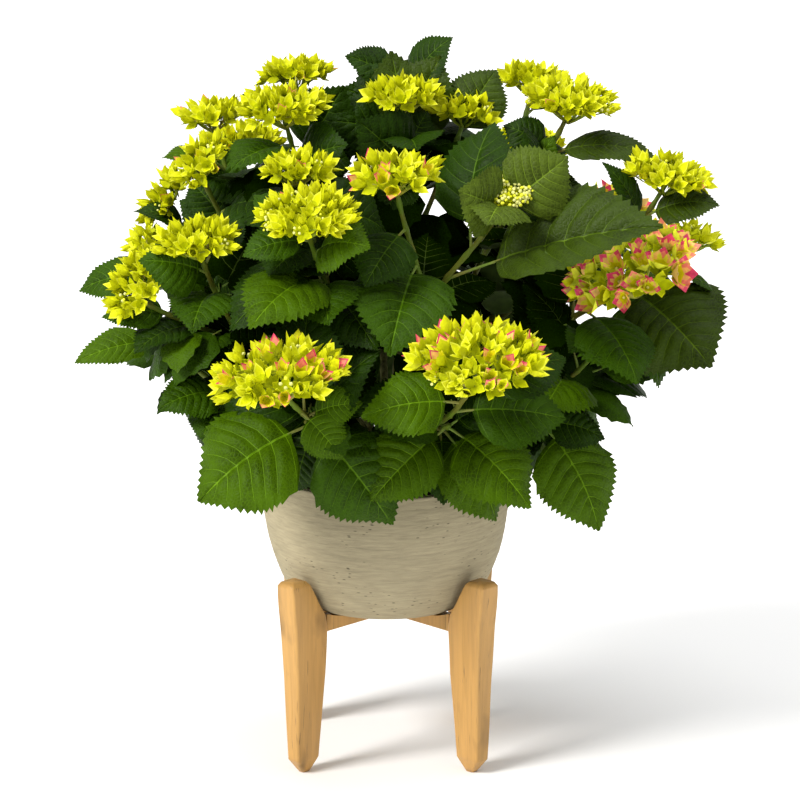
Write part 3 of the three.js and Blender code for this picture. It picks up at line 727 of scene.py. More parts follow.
class LeafForm:
    """The grid that every leaf of one fineness shares: rows along the side veins."""

    BLADE, VEIN, UNDER = 0, 1, 2

    def __init__(self, veins, columns, under, fine):
        self.rows, self.kinds, self.teeth = self.lay_rows(veins, fine)
        sides = {"vein_low": -1, "vein_high": 1}
        self.vein_sides = np.array([sides.get(kind, 0) for kind in self.kinds])
        self.columns = np.array(columns)
        self.fine = fine
        self.under = under
        self.faces, self.roles = self.lay_faces()

    def lay_rows(self, veins, fine):
        """Places of the rows up the leaf, their kinds, and 1 for a tooth or -1 for a notch."""
        starts = 0.05 + 0.83 * (np.arange(veins) / (veins - 1)) ** 0.92
        ends = [*starts[1:], 0.985]
        rows = [(0.0, "edge", 0), (0.02, "plain", -1)]
        for start, end in zip(starts, ends):
            gap = end - start
            if fine:
                rows += [(start, "vein_low", 1), (start, "vein_high", 1)]
                for share, tooth in ((0.3, -1), (0.54, 1), (0.78, -1)):
                    rows.append((start + gap * share, "puff", tooth))
            else:
                rows += [(start, "vein", 1), (start + gap * 0.5, "puff", -1)]
        rows += [(1.0, "edge", 0)]
        places, kinds, teeth = zip(*rows)
        return np.array(places), kinds, np.array(teeth)

    def lay_faces(self):
        """Faces of the upper grid, of the wider grid under it and of both ends, with roles."""
        rows, half = len(self.rows), len(self.columns) - 1
        wide = 2 * half + 1
        inner = [half + side * column for side in (-1, 1) for column in self.under]
        low_columns = sorted(inner + [half])
        faces, roles = [], []

        def upper(row, column):
            return row * wide + column

        def lower(row, column):
            if column in (0, wide - 1):
                return upper(row, column)
            return rows * wide + row * len(low_columns) + low_columns.index(column)

        for row in range(rows - 1):
            vein_row = self.kinds[row] == "vein_low"
            for column in range(wide - 1):
                a, b = upper(row, column), upper(row, column + 1)
                c, d = upper(row + 1, column + 1), upper(row + 1, column)
                middle = abs(column + 0.5 - half)
                is_vein = self.fine and (middle < 1 or (vein_row and middle < half - 1))
                faces += [(a, b, c), (a, c, d)]
                roles += [self.VEIN if is_vein else self.BLADE] * 2
            edges = [0, *low_columns, wide - 1]
            for left, right in zip(edges, edges[1:]):
                a, b = lower(row, left), lower(row, right)
                c, d = lower(row + 1, right), lower(row + 1, left)
                faces += [(a, c, b), (a, d, c)]
                roles += [self.UNDER] * 2
        for row, step in ((0, 1), (rows - 1, -1)):
            loop = [upper(row, column) for column in range(wide)]
            loop += [lower(row, column) for column in reversed(low_columns)]
            for first, second in zip(loop[1:], loop[2:]):
                faces.append((loop[0], second, first)[::step])
                roles.append(self.UNDER)
        self.low_columns = low_columns
        return np.array(faces), np.array(roles)


# Half width of a leaf along its length, as a share of the greatest.
OUTLINE = ((0, 0.03), (0.02, 0.3), (0.06, 0.52), (0.12, 0.73), (0.2, 0.89), (0.3, 0.98),
           (0.4, 1.0), (0.5, 0.965), (0.6, 0.87), (0.7, 0.71), (0.8, 0.49), (0.88, 0.285),
           (0.94, 0.14), (0.98, 0.05), (1, 0.01))
# Half width of a side vein, and half widths of the midrib at its foot and tip.
VEIN_HALF, RIB_FOOT, RIB_TIP = 0.5, 1.1, 0.4
# Deepest tooth, how far a tooth leans forward as a share of the leaf's length, a notch's depth
# as a share of a tooth's, and how unlike the teeth are.
TOOTH_MOST, TOOTH_LEAN, NOTCH_SHARE, TOOTH_SPREAD = 2.7, 0.024, 0.5, 0.4
# How far side veins run forward on their way to the margin, as a share of the leaf's length.
SLANT = 0.28
# Thickness of a leaf along its midrib and at its margin.
MIDDLE_THICK, MARGIN_THICK = 1.5, 0.7


def half_width(along):
    shares, widths = zip(*OUTLINE)
    return np.interp(along, shares, widths)


def leaf_skin(form, root, tip, face, habit):
    """One leaf's points, upper rows and then the lower columns, and the line of its stalk."""
    width, stalk, phase = habit["width"], habit["stalk"], habit["phase"]
    line = tip - root
    length = np.linalg.norm(line)
    axis = line / length
    up = unit(face - axis * (face @ axis))
    side = np.cross(up, axis)
    curve = Curve(root, lerp(root, tip, 0.5) + up * 2 * habit["arch"] * length, tip)

    rows = form.rows[:, None]
    columns = np.concatenate([-form.columns[:0:-1], form.columns])[None, :]
    out = np.abs(columns)
    slant = SLANT * np.minimum(1, rows / 0.12) ** 0.7 * (1 - rows) ** 0.45
    teeth = form.teeth[:, None] * (out > 0.999)
    spread = VEIN_HALF / length * form.vein_sides[:, None] * (1 - 0.7 * out)
    along = np.clip(rows + spread + slant * out ** 1.55 + teeth * (teeth > 0) * TOOTH_LEAN, 0, 1)
    reach = half_width(rows + slant) * width
    tooth = np.minimum(habit["tooth"] * width, TOOTH_MOST) * np.minimum(1, reach / width * 1.6)
    uneven = 7.3 * np.arange(len(form.rows))[:, None] + 20 * phase + 2 * np.sign(columns)
    tooth = tooth * (1 + TOOTH_SPREAD * np.sin(uneven))
    lateral = out * reach + np.where(teeth > 0, 1.0, NOTCH_SHARE) * teeth * tooth
    if form.fine:
        rib = lerp(RIB_FOOT, RIB_TIP, rows[:, 0]) * min(1.3, width / 45)
        half = len(form.columns) - 1
        for column in (half - 1, half + 1):
            lateral[:, column] = np.minimum(rib, reach[:, 0] * 0.4)
    share = stalk + (1 - stalk) * along
    centre = curve.at(share)
    tangent = curve.heading(share)
    twist = habit["twist"] * along
    across_leaf = (side[None, None] * np.cos(twist)[..., None]
                   + np.cross(tangent, side[None, None]) * np.sin(twist)[..., None])
    normal = np.cross(tangent, across_leaf)
    normal /= np.linalg.norm(normal, axis=-1, keepdims=True)

    rise = lateral * (habit["fold"] - habit["curl"] * out)
    quilt = np.array([1.0 if kind == "puff" else 0.0 for kind in form.kinds])[:, None]
    dome = np.sin(np.pi * np.clip(out, 0, 1) ** 0.75) * np.sqrt(reach / width)
    puff = habit["quilt"] * width * quilt * dome
    wave = np.sin(2 * np.pi * (along * 2.3 + phase) + columns)
    ripple = habit["ripple"] * width * out ** 2 * wave
    droop = habit["droop"] * length * np.clip(along - 0.35, 0, 1) ** 2
    height = (rise + puff + ripple - droop)[..., None]
    upper = centre + across_leaf * (np.sign(columns) * lateral)[..., None] + normal * height
    low = form.low_columns
    thick = lerp(MIDDLE_THICK, MARGIN_THICK, np.abs(columns[:, low])) * lerp(1.0, 0.55, rows)
    thick = np.minimum(thick, 0.25 + reach * 0.3)
    lower = upper[:, low] - normal[:, low] * thick[..., None]
    points = np.concatenate([upper.reshape(-1, 3), lower.reshape(-1, 3)])
    joint = curve.at(np.linspace(0, stalk + 0.02, 5))
    return points, joint


class Occupancy:
    """The cells of the crown that leaves already hold."""

    def __init__(self, cell):
        self.cell, self.held = cell, {}

    def keys(self, points):
        return {tuple(key) for key in np.floor(points / self.cell).astype(int)}

    def share_held(self, points):
        keys = self.keys(points)
        return sum(key in self.held for key in keys) / len(keys)

    def hold(self, points):
        for key in self.keys(points):
            self.held[key] = True


def in_beam(points, middle, radius, start):
    """True if the points lie in a round beam that runs from a place towards the light."""
    away = points - middle
    along = away @ LIGHT
    off = np.linalg.norm(away - along[:, None] * LIGHT, axis=1)
    return ((off < radius) & (along > start)).any()


def in_a_head(points):
    """True if the points run into a flower head or lie over one on its light side."""
    for _, _, centre, width in HEADS:
        away = points - centre
        flat = np.linalg.norm(away[:, :2], axis=1)
        inside = (flat < width * 0.38) & (np.abs(away[:, 2]) < width * 0.16)
        if inside.any() or in_beam(points, centre, width * 0.4, -width * 0.05):
            return True
    return False


def in_any(points, rounds):
    """True if a point lies in one of some rounds, each a middle and its reach each way."""
    return any((((points - vec(*middle)) / vec(*reach)) ** 2).sum(1).min() < 1
               for middle, reach in rounds)


def in_a_hollow(points):
    """True if the points lie in an open place, or in a gap that runs right through the crown."""
    flat = np.stack([points[:, 0], points[:, 2] + GAP_SLOPE * points[:, 1]], 1)
    return in_any(points, HOLLOWS) or in_any(flat, GAPS)


def over_a_leaf(points, clear):
    """True if the points lie over a main leaf on its light side."""
    return any(in_beam(points, middle, radius, CLEAR_ABOVE) for middle, radius in clear)


def leaf_facing(curve, share, tip):
    """The way a main leaf looks: up and outward, and at the front towards the light."""
    outward = unit(vec(tip[0] - CROWN_CENTRE[0], tip[1], 0))
    face = curve.heading(share) * 0.4 + UP + outward * 0.5
    return face + LIGHT * (0.9 if tip[1] < LIGHT_REACH else 0)


def tone_of(tip, small=False):
    """Leaves low at the front are fresh green, upper ones olive, inner and rear ones deep; the deep
    and inner tones are painted shade within the crown.
    """
    depth = np.linalg.norm((tip - CROWN_CENTRE) / CROWN_HALF)
    # Deep inside the crown, leaves take the painted shade of the inner tone, then of the deep one.
    if depth < (0.68 if small else 0.6):
        return INNER_SHADE
    if depth < 0.74:
        return DEEP_SHADE
    if tip[2] < 470:
        return STREAM.choice((FRESH, FRESH, MID) if tip[1] < -120 else (MID, DEEP_SHADE))
    if tip[2] > 610:
        return STREAM.choice((FRESH, MID, MID) if tip[0] < -40 else (OLIVE, OLIVE, DEEP_SHADE))
    return STREAM.choice((MID, DEEP_SHADE, DEEP_SHADE))


def random_habit(fine):
    """The small differences between one leaf and the next."""
    return {
        "arch": STREAM.uniform(0.09, 0.16),
        "twist": STREAM.uniform(-0.25, 0.25),
        "fold": STREAM.uniform(0.22, 0.4),
        "curl": STREAM.uniform(0.2, 0.5),
        "ripple": STREAM.uniform(0.02, 0.06),
        "phase": STREAM.random(),
        "droop": STREAM.uniform(0.0, 0.1),
        "quilt": STREAM.uniform(0.06, 0.074) if fine else 0.02,
    }


def blade_samples(root, tip, face, width):
    """Points spread over a leaf's blade."""
    line = tip - root
    side = across(unit(line), face)
    return np.array([
        root + line * along + side * width * out * half_width(along)
        for along in (0.25, 0.4, 0.55, 0.7, 0.85, 1.0) for out in (-0.8, -0.4, 0, 0.4, 0.8)
    ])


def list_leaves(settings):
    """Every leaf: its limb, whether it is fine, its root, tip, face, habit and tone."""
    leaves, clear = [], []
    crown = Occupancy(13.0)

    def take(limb, fine, root, tip, face, width, stalk, tone, limit, own=()):
        """Adds a leaf, unless too much of its place is held or it would cover what must show."""
        habit = random_habit(fine)
        habit.update(own, width=width, stalk=stalk, tooth=settings.tooth_depth)
        blade = blade_samples(root, tip, face, width)
        if limit < 1 and (crown.share_held(blade) > limit or in_a_head(blade)
                          or in_a_hollow(blade) or over_a_leaf(blade, clear)):
            return
        crown.hold(blade)
        leaves.append((limb, fine, root, tip, face, habit, tone))

    for name, limb in LIMBS.items():
        for index, (number, share, x, y, z) in enumerate(limb["reaching"]):
            look = {"wide": settings.leaf_width, "tone": tone_of(vec(x, y, z)), "share": share,
                    "tip": (x, y, z), "stalk": 0.16, **LEAF_LOOKS.get((name, index), {})}
            curve = GROWN[name]["shoots"][number]
            root, tip = curve.at(look["share"]), vec(*look["tip"])
            face = vec(*look["face"]) if "face" in look else leaf_facing(curve, share, tip)
            reach = np.linalg.norm(tip - root)
            own = {trait: look[trait] for trait in ("fold", "arch", "quilt") if trait in look}
            take(name, True, root, tip, face, look["wide"] * reach, look["stalk"], look["tone"], 1,
                 own)
            if tip[1] < LIGHT_REACH / 2:
                clear.append((lerp(root, tip, 0.6), CLEAR_SHARE * reach))
    # Filling leaves, most of them in the deep or inner tone of painted shade, close the gaps.
    for name, number, share, x, y, z, wide, tone in FILLING_LEAVES:
        root, tip = GROWN[name]["shoots"][number].at(share), vec(x, y, z)
        width = wide * np.linalg.norm(tip - root)
        take(name, tone != INNER_SHADE, root, tip, UP * 0.6 + LIGHT, width, 0.12, tone, 1)
    for name, limb in LIMBS.items():
        for curve, shoot in zip(GROWN[name]["shoots"], limb["shoots"]):
            paired_leaves(name, curve, *shoot[4:6], take)
    for name, limb in GROWN.items():
        for curve in limb["shoots"]:
            twig_leaves(name, curve, take)
    return leaves


def pair_heading(curve, share, turn, rise=0.3):
    """The way a leaf leaves its shoot at a turn round it, and the shoot's own way there."""
    tangent = curve.heading(share)
    side = across(tangent, vec(0, 1, 0.1))
    heading = spoke(side, np.cross(tangent, side), turn)
    return unit(heading + tangent * rise - UP * 0.15), tangent


def paired_leaves(name, curve, length, first_turn, take):
    """Pairs stand a quarter turn on from each other up the shoot."""
    for number, (share, size) in enumerate(PAIRS):
        for opposite in (0, math.pi):
            turn = math.radians(first_turn) + number * math.pi / 2 + opposite
            turn += STREAM.uniform(-0.3, 0.3)
            heading, tangent = pair_heading(curve, share, turn)
            reach = length * size * STREAM.uniform(0.9, 1.1)
            root = curve.at(share)
            tip = root + heading * reach
            if not inside_crown(tip):
                continue
            face = tangent + UP + heading * 0.2 + LIGHT * (0.5 if tip[1] < 0 else 0)
            limit = 0.22 if tip[1] < -120 else 0.32
            take(name, True, root, tip, face, 0.35 * reach, 0.15, tone_of(tip), limit)


def twig_leaves(name, curve, take):
    """Small leaves on short side twigs fill the shade between the shoots."""
    for share in TWIG_SHARES:
        for _ in range(TWIGS_EACH):
            turn = STREAM.uniform(0, math.tau)
            heading, tangent = pair_heading(curve, share, turn, STREAM.uniform(0, 0.6))
            root = curve.at(share) + heading * STREAM.uniform(2, 26)
            reach = STREAM.uniform(50, 82)
            tip = root + heading * reach
            if not inside_crown(tip, 0.95):
                continue
            face, tone = UP + tangent * 0.5 + LIGHT * 0.4, tone_of(tip, True)
            take(name, False, root, tip, face, 0.36 * reach, 0.12, tone, 0.5)


# ------------------------------------------------------------------------------- properties

def size_property(name, description, default):
    return bpy.props.FloatProperty(name=name, description=description, default=default, min=0.0)


def colour_property(name, description, default):
    return bpy.props.FloatVectorProperty(name=name, description=description, default=default,
                                         subtype="COLOR", min=0.0, max=1.0)


class HydrangeaSettings(bpy.types.PropertyGroup):
    """Sizes and colours of the potted hydrangea."""

    leaf_width: size_property(
        "Leaf half width", "Half width of a leaf as a share of its reach", 0.37)
    tooth_depth: size_property(
        "Tooth depth", "Depth of the margin's teeth as a share of the half width", 0.056)
    floret_size: bpy.props.FloatProperty(
        name="Floret size", description="Length of a sepal", default=0.0172, unit="LENGTH")
    crumb_count: bpy.props.IntProperty(
        name="Crumbs", description="Crumbs of compost on the soil", default=420)
    fresh_leaf: colour_property("Fresh leaf", "Leaves low at the front", (0.042, 0.09, 0.0))
    mid_leaf: colour_property("Mid leaf", "Leaves round the middle", (0.024, 0.06, 0.0))
    # The deep and inner leaf colours are painted shade, darkening the leaves inside the crown.
    deep_leaf: colour_property("Deep leaf", "Leaves in shade", (0.012, 0.033, 0.0))
    olive_leaf: colour_property("Olive leaf", "Upper leaves", (0.027, 0.049, 0.001))
    # Near-black: painted shade for the leaves deep inside the crown.
    inner_leaf: colour_property("Inner leaf", "Leaves inside the crown", (0.004, 0.011, 0.0))
    young_leaf: colour_property("Young leaf", "Leaves round a bud", (0.058, 0.09, 0.006))
    sepal: colour_property("Sepal", "Lime sepals", (0.68, 0.7, 0.006))
    blush: colour_property("Blush", "Pink sepal tips", (0.72, 0.065, 0.15))
    clay: colour_property("Clay", "Fibre-clay pot", (0.37, 0.318, 0.2))
    wood: colour_property("Wood", "Stand", (0.52, 0.29, 0.085))


class HYDRANGEA_OT_pot(bpy.types.Operator):
    """Make the brushed fibre-clay pot"""

    bl_idname = "hydrangea.pot"
    bl_label = "Pot"

    def execute(self, context):
        make_pot()
        return {"FINISHED"}


class HYDRANGEA_OT_compost(bpy.types.Operator):
    """Make the compost and its crumbs"""

    bl_idname = "hydrangea.compost"
    bl_label = "Compost"

    def execute(self, context):
        make_compost(context.scene.hydrangea)
        return {"FINISHED"}


class HYDRANGEA_OT_stand(bpy.types.Operator):
    """Make the four legs and finish the cross bars"""

    bl_idname = "hydrangea.stand"
    bl_label = "Stand"

    def execute(self, context):
        make_stand()
        return {"FINISHED"}


class HYDRANGEA_OT_canes(bpy.types.Operator):
    """Make the stem foot and the canes with their bark"""

    bl_idname = "hydrangea.canes"
    bl_label = "Canes"

    def execute(self, context):
        make_canes()
        return {"FINISHED"}


class HYDRANGEA_OT_shoots(bpy.types.Operator):
    """Make the green shoots, their joints and the rays under the heads"""

    bl_idname = "hydrangea.shoots"
    bl_label = "Shoots"

    def execute(self, context):
        make_shoots()
        return {"FINISHED"}


class HYDRANGEA_OT_leaves(bpy.types.Operator):
    """Make the leaves, one piece for each side of the crown"""

    bl_idname = "hydrangea.leaves"
    bl_label = "Leaves"

    def execute(self, context):
        make_leaves(context.scene.hydrangea)
        return {"FINISHED"}


class HYDRANGEA_OT_blossom(bpy.types.Operator):
    """Make the flower heads from their florets"""

    bl_idname = "hydrangea.blossom"
    bl_label = "Blossom"

    def execute(self, context):
        make_blossom(context.scene.hydrangea)
        return {"FINISHED"}


class HYDRANGEA_OT_stage(bpy.types.Operator):
    """Make the floor, the lights and the camera"""

    bl_idname = "hydrangea.stage"
    bl_label = "Stage"

    def execute(self, context):
        make_stage()
        return {"FINISHED"}


OPERATORS = (HYDRANGEA_OT_stage, HYDRANGEA_OT_pot, HYDRANGEA_OT_compost, HYDRANGEA_OT_stand,
             HYDRANGEA_OT_canes, HYDRANGEA_OT_shoots, HYDRANGEA_OT_leaves, HYDRANGEA_OT_blossom)


class HYDRANGEA_PT_panel(bpy.types.Panel):
    """Lists the settings and the pieces"""

    bl_idname = "HYDRANGEA_PT_panel"
    bl_label = "Potted Hydrangea"
    bl_space_type = "VIEW_3D"
    bl_region_type = "UI"
    bl_category = "Hydrangea"

    def draw(self, context):
        for name in HydrangeaSettings.__annotations__:
            self.layout.prop(context.scene.hydrangea, name)
        for operator in OPERATORS:
            self.layout.operator(operator.bl_idname)


CLASSES = (HydrangeaSettings, *OPERATORS, HYDRANGEA_PT_panel)


def register():
    for cls in CLASSES:
        bpy.utils.register_class(cls)
    bpy.types.Scene.hydrangea = bpy.props.PointerProperty(type=HydrangeaSettings)


def unregister():
    del bpy.types.Scene.hydrangea
    for cls in reversed(CLASSES):
        bpy.utils.unregister_class(cls)


# ------------------------------------------------------------------------------ pot and soil

# Radius and height of the pot's outside, from its foot to its rim.
POT_OUTSIDE = ((72, 170), (93, 175), (108, 188), (117, 205), (127, 232), (133, 258), (136, 284),
               (130, 322))
# Thickness of the pot's wall and floor, and the radii of the rings over its rim.
POT_WALL, POT_FLOOR = 9, 11
POT_LIP = (128.5, 126, 123.5)
# Radius and height of the compost's side, and the radii of the rings on its top.
COMPOST_SIDE = ((4, 190), (60, 190), (106, 215), (116, 260), (119, 296))
COMPOST_RINGS = (112, 96, 78, 58, 38, 20, 6)


def turned(profile, segments, relief):
    """Rings of a profile of radius and height that is turned about the pot's axis."""
    return [
        [polar(radius + relief(index, radius, height, angle), angle, height)
         for angle in all_round(segments)]
        for index, (radius, height) in enumerate(profile)
    ]


def smooth_profile(corners, count):
    """Evenly spaced places on a smooth line through a profile's corners."""
    corners = np.array(corners, float)
    steps = np.linalg.norm(np.diff(corners, axis=0), axis=1)
    marks = np.concatenate([[0], np.cumsum(steps)])
    slopes = np.gradient(corners, marks, axis=0)
    places = np.linspace(0, marks[-1], count)
    spans = np.clip(np.searchsorted(marks, places, side="right") - 1, 0, len(marks) - 2)
    width = (marks[spans + 1] - marks[spans])[:, None]
    share = ((places - marks[spans])[:, None]) / width
    square, cube = share**2, share**3
    leave = (2 * cube - 3 * square + 1) * corners[spans]
    leave += (cube - 2 * square + share) * width * slopes[spans]
    arrive = (3 * square - 2 * cube) * corners[spans + 1]
    return leave + arrive + (cube - square) * width * slopes[spans + 1]


def make_pot():
    (_, foot), (_, rim) = POT_OUTSIDE[0], POT_OUTSIDE[-1]
    floor = foot + POT_FLOOR
    outside = [tuple(row) for row in smooth_profile(POT_OUTSIDE, 72)]
    lip = [(radius, rim) for radius in POT_LIP]
    inside = [(radius - POT_WALL, max(height, floor))
              for radius, height in reversed(POT_OUTSIDE[1:])]
    profile = [(3, foot)] + outside + lip + inside + [(3, floor)]

    def brushed(index, _, height, angle):
        """Level scratches and slow swells on the outside, all of them inwards."""
        if not 2 < index < len(outside):
            return 0
        scratch = noise_around(angle, 1.4, height * 0.45)
        swell = noise_around(angle, 0.9, height * 0.02)
        return min(0, scratch * 0.45 - 0.3 + swell * 0.9 - 0.5)

    pot = piece_of_rings("pot_bowl", turned(profile, 144, brushed), clay_finish())
    settle(pot, "fibre_clay", "pot")


def soil_height(radius):
    """The compost lies a little lower towards the pot's wall."""
    return lerp(SOIL_TOP, SOIL_RIM, (radius / SOIL_EDGE) ** 2)


def make_compost(settings):
    def lumpy(_, radius, __, angle):
        return noise_around(angle, radius * 0.05, 0.15) * 1.5

    profile = [*COMPOST_SIDE, *((radius, soil_height(radius)) for radius in COMPOST_RINGS)]
    finish = compost_finish()
    fill = piece_of_rings("compost_fill", turned(profile, 48, lumpy), finish)
    settle(fill, "compost", "soil")
    rows = crumb_places(settings.crumb_count)
    crumbs = scatter("compost_crumbs", rows, {"crumb": crumb_mesh()}, [finish])
    settle(crumbs, "compost", "soil")


def crumb_places(count):
    """Places, turns and sizes of crumbs spread evenly over the compost."""
    rows = []
    for index in range(count):
        radius = (SOIL_EDGE - 6) * math.sqrt((index + 0.5) / count)
        angle = index * GOLDEN_ANGLE
        turn = (STREAM.uniform(0, 6), STREAM.uniform(0, 6), STREAM.uniform(0, 6))
        spot = polar(radius, angle, soil_height(radius))
        rows.append((spot, turn, STREAM.uniform(1.2, 3.2), 0))
    return rows


def crumb_mesh():
    """A rough little lump, one unit across."""
    shape = bmesh.new()
    bmesh.ops.create_icosphere(shape, subdivisions=1, radius=1.0)
    for vertex in shape.verts:
        vertex.co *= 0.8 + 0.35 * noise.noise(vertex.co * 2.3 + Vector((5, 1, 2)))
    points = [vertex.co[:] for vertex in shape.verts]
    faces = [[vertex.index for vertex in face.verts] for face in shape.faces]
    shape.free()
    return np.array(points), np.array(faces), np.zeros(len(faces), int)


# -------------------------------------------------------------------------------- the stand

# Height, distance of the inner and outer faces from the stand's middle, half width.
LEG_SECTIONS = ((0, 125, 136, 4.5), (16, 115, 148, 9.4), (60, 111, 149.5, 10.8),
                (110, 107, 151, 12.4), (162, 104.5, 154, 13.8), (178, 107.5, 155.5, 14),
                (192, 116.5, 157, 14), (206, 124, 158, 14), (217, 130, 159, 13),
                (221, 134, 156, 10.5))
LEG_BEARINGS = {"back_right": 45, "back_left": 135, "front_left": 225, "front_right": 315}
LEG_ROUNDING = 3.0
# How far the stand's middle lies to the right of the pot's axis.
STAND_SHIFT = 2
# The turn that lays the grain along each cross bar.
BAR_GRAINS = {1: (0, math.pi / 2, 0), 2: (math.pi / 2, 0, 0)}


def leg_ring(height, inner, outer, half, wear):
    """A level rectangle with rounded corners, anticlockwise."""
    middle, deep = (inner + outer) / 2, (outer - inner) / 2
    rounding = min(LEG_ROUNDING, half * 0.7, deep * 0.7)
    points = []
    for corner, (sx, sy) in enumerate(((1, 1), (-1, 1), (-1, -1), (1, -1))):
        for step in range(6):
            angle = corner * math.pi / 2 + step / 5 * math.pi / 2
            x = middle + sx * (deep - rounding) + rounding * math.cos(angle)
            y = sy * (half - rounding) + rounding * math.sin(angle)
            dent = noise.noise(Vector((x * 0.03 + wear, y * 0.05, height * 0.018))) * 0.6 - 0.35
            pull = 1 + dent / 20
            points.append((middle + (x - middle) * pull, y * pull, height))
    return points


def make_stand():
    finish = wood_finish("leg_wood")
    heights, *faces = zip(*LEG_SECTIONS)
    levels = sorted(set(heights) | set(np.linspace(0, heights[-1], 45)))
    for number, (corner, bearing) in enumerate(LEG_BEARINGS.items()):
        rings = np.array([
            leg_ring(level, *(np.interp(level, heights, face) for face in faces), number * 7.0)
            for level in levels
        ])
        x, y, z = rings[..., 0], rings[..., 1], rings[..., 2]
        cosine, sine = math.cos(math.radians(bearing)), math.sin(math.radians(bearing))
        rings = np.stack([x * cosine - y * sine + STAND_SHIFT, x * sine + y * cosine, z], -1)
        leg = piece_of_rings(f"stand_leg_{corner}", rings, finish)
        settle(leg, "stand_wood", f"leg_{corner}")
    for number, turn in BAR_GRAINS.items():
        grain = wood_finish(f"bar_wood_{number}", turn)
        for slot in frame["nodes"][f"cross_bar_{number}"].material_slots:
            slot.material = grain


# -------------------------------------------------------------------------- canes and shoots

# Faces round a cane, and how far up it its joints are.
CANE_SIDES, CANE_JOINTS = 12, (0.18, 0.36, 0.54, 0.72, 0.9)
# Radii of a shoot at its foot and tip, and the number of rays under a head.
SHOOT_RADII, RAYS = (3.2, 2.5), 7


def bark_radii(radii, seed):
    """Radii all round a cane with bark relief and swollen joints."""
    count = len(radii)
    rows = []
    for index, radius in enumerate(radii):
        share = index / (count - 1)
        swell = sum(math.exp(-(((share - joint) * count / 2.2) ** 2)) for joint in CANE_JOINTS)
        rows.append([radius * (1 + 0.2 * swell) + 0.55 * noise_around(a, 1.6, index * 0.35 + seed)
                     for a in all_round(CANE_SIDES)])
    return np.array(rows)


def stump_rings():
    """Rings of the ribbed and rough stump that the canes leave."""
    rings = []
    for share in np.linspace(0, 1, 18):
        radius = np.interp(share, np.linspace(0, 1, len(STUMP_RADII)), STUMP_RADII)
        height = SOIL_TOP + GAP + STUMP_HEIGHT * share
        ring = []
        for angle in all_round(40):
            rib = 1 + 0.05 * math.sin(3 * angle + 3 * share)
            reach = radius * rib + noise_around(angle, 3, share * 2) * 1.6 - 1
            ring.append(polar(reach, angle, height) + vec(STUMP_LEAN * share, 0, 0))
        rings.append(ring)
    return rings


def make_canes():
    bark = bark_finish()
    sheaf = Sheaf()
    shares = np.linspace(0, 1, 40)
    for number, limb in enumerate(GROWN.values()):
        radii = bark_radii(lerp(*CANE_RADII, shares), number * 9.0)
        sheaf.add(*tube(limb["cane"].at(shares), radii, CANE_SIDES), 0)
    canes = piece_from("canes", sheaf, [bark])
    settle(canes, "cane_bark", *(f"cane_{name}" for name in GROWN))
    foot = piece_of_rings("stem_foot_bark", stump_rings(), bark)
    settle(foot, "cane_bark", "stem_foot")


def make_shoots():
    green = stem_finish("green_shoot", (0.1, 0.17, 0.012), (0.13, 0.13, 0.015))
    ray = stem_finish("ray", (0.26, 0.34, 0.02), (0.28, 0.24, 0.03))
    shares = np.linspace(0, 1, 30)
    radii = lerp(*SHOOT_RADII, shares)
    for joint, _ in PAIRS:
        radii = radii * (1 + 0.35 * np.exp(-(((shares - joint) / 0.016) ** 2)))
    sheaf = Sheaf()
    for name, limb in GROWN.items():
        stub = [limb["start"], limb["start"] + limb["heading"] * STUB]
        sheaf.add(*tube(np.linspace(*stub, 4), [CANE_RADII[1]] * 4, 10), 0)
        for index, (curve, shoot) in enumerate(zip(limb["shoots"], LIMBS[name]["shoots"])):
            sheaf.add(*tube(curve.at(shares), radii, 8), 0)
            if shoot[3]:
                add_rays(sheaf, curve, head_axis(name, index), vec(*shoot[:3]), shoot[3])
    shoots = piece_from("shoots", sheaf, [green, ray])
    settle(shoots, "foliage", *(f"mass_{name}" for name in GROWN))


def head_axis(name, index):
    if (name, index) in HEAD_AXES:
        return unit(vec(*HEAD_AXES[name, index]))
    heading = GROWN[name]["shoots"][index].heading(1.0)
    return unit(heading * 0.45 + vec(0, 0, 0.8))


def add_rays(sheaf, curve, axis, centre, width):
    """The branching rays that carry a head's dome."""
    side = across(axis, vec(0, 1, 0.2))
    other = np.cross(axis, side)
    start = curve.at(1.0) - axis * width * HEAD_STEM_DEPTH

    def add_ray(path, count, thick, thin, sides):
        radii = np.linspace(width * thick, width * thin, count)
        sheaf.add(*tube(path.at(np.linspace(0, 1, count)), radii, sides), 1)

    for angle in all_round(RAYS) + 0.4:
        out = spoke(side, other, angle)
        end = centre + out * width * 0.27 - axis * width * 0.09
        bend = lerp(start, end, 0.5) + out * width * 0.05 - axis * width * 0.01
        path = Curve(start, bend, end)
        add_ray(path, 6, 0.019, 0.012, 6)
        for fork in (-0.55, 0.0, 0.55):
            aside = spoke(side, other, angle + fork)
            far = centre + aside * width * 0.36 - axis * width * (0.07 if fork else 0.11)
            branch = Curve(path.at(0.75), lerp(path.at(0.9), far, 0.5), far)
            add_ray(branch, 4, 0.011, 0.007, 5)


# ------------------------------------------------------------------------------ making leaves

# Veins are paler than their leaf: its colour times this, and a little more of each channel.
VEIN_LIGHT, VEIN_PALE = 2.2, (0.03, 0.045, 0.003)


def vein_colour(tone):
    return tuple(VEIN_LIGHT * channel + pale for channel, pale in zip(tone, VEIN_PALE))


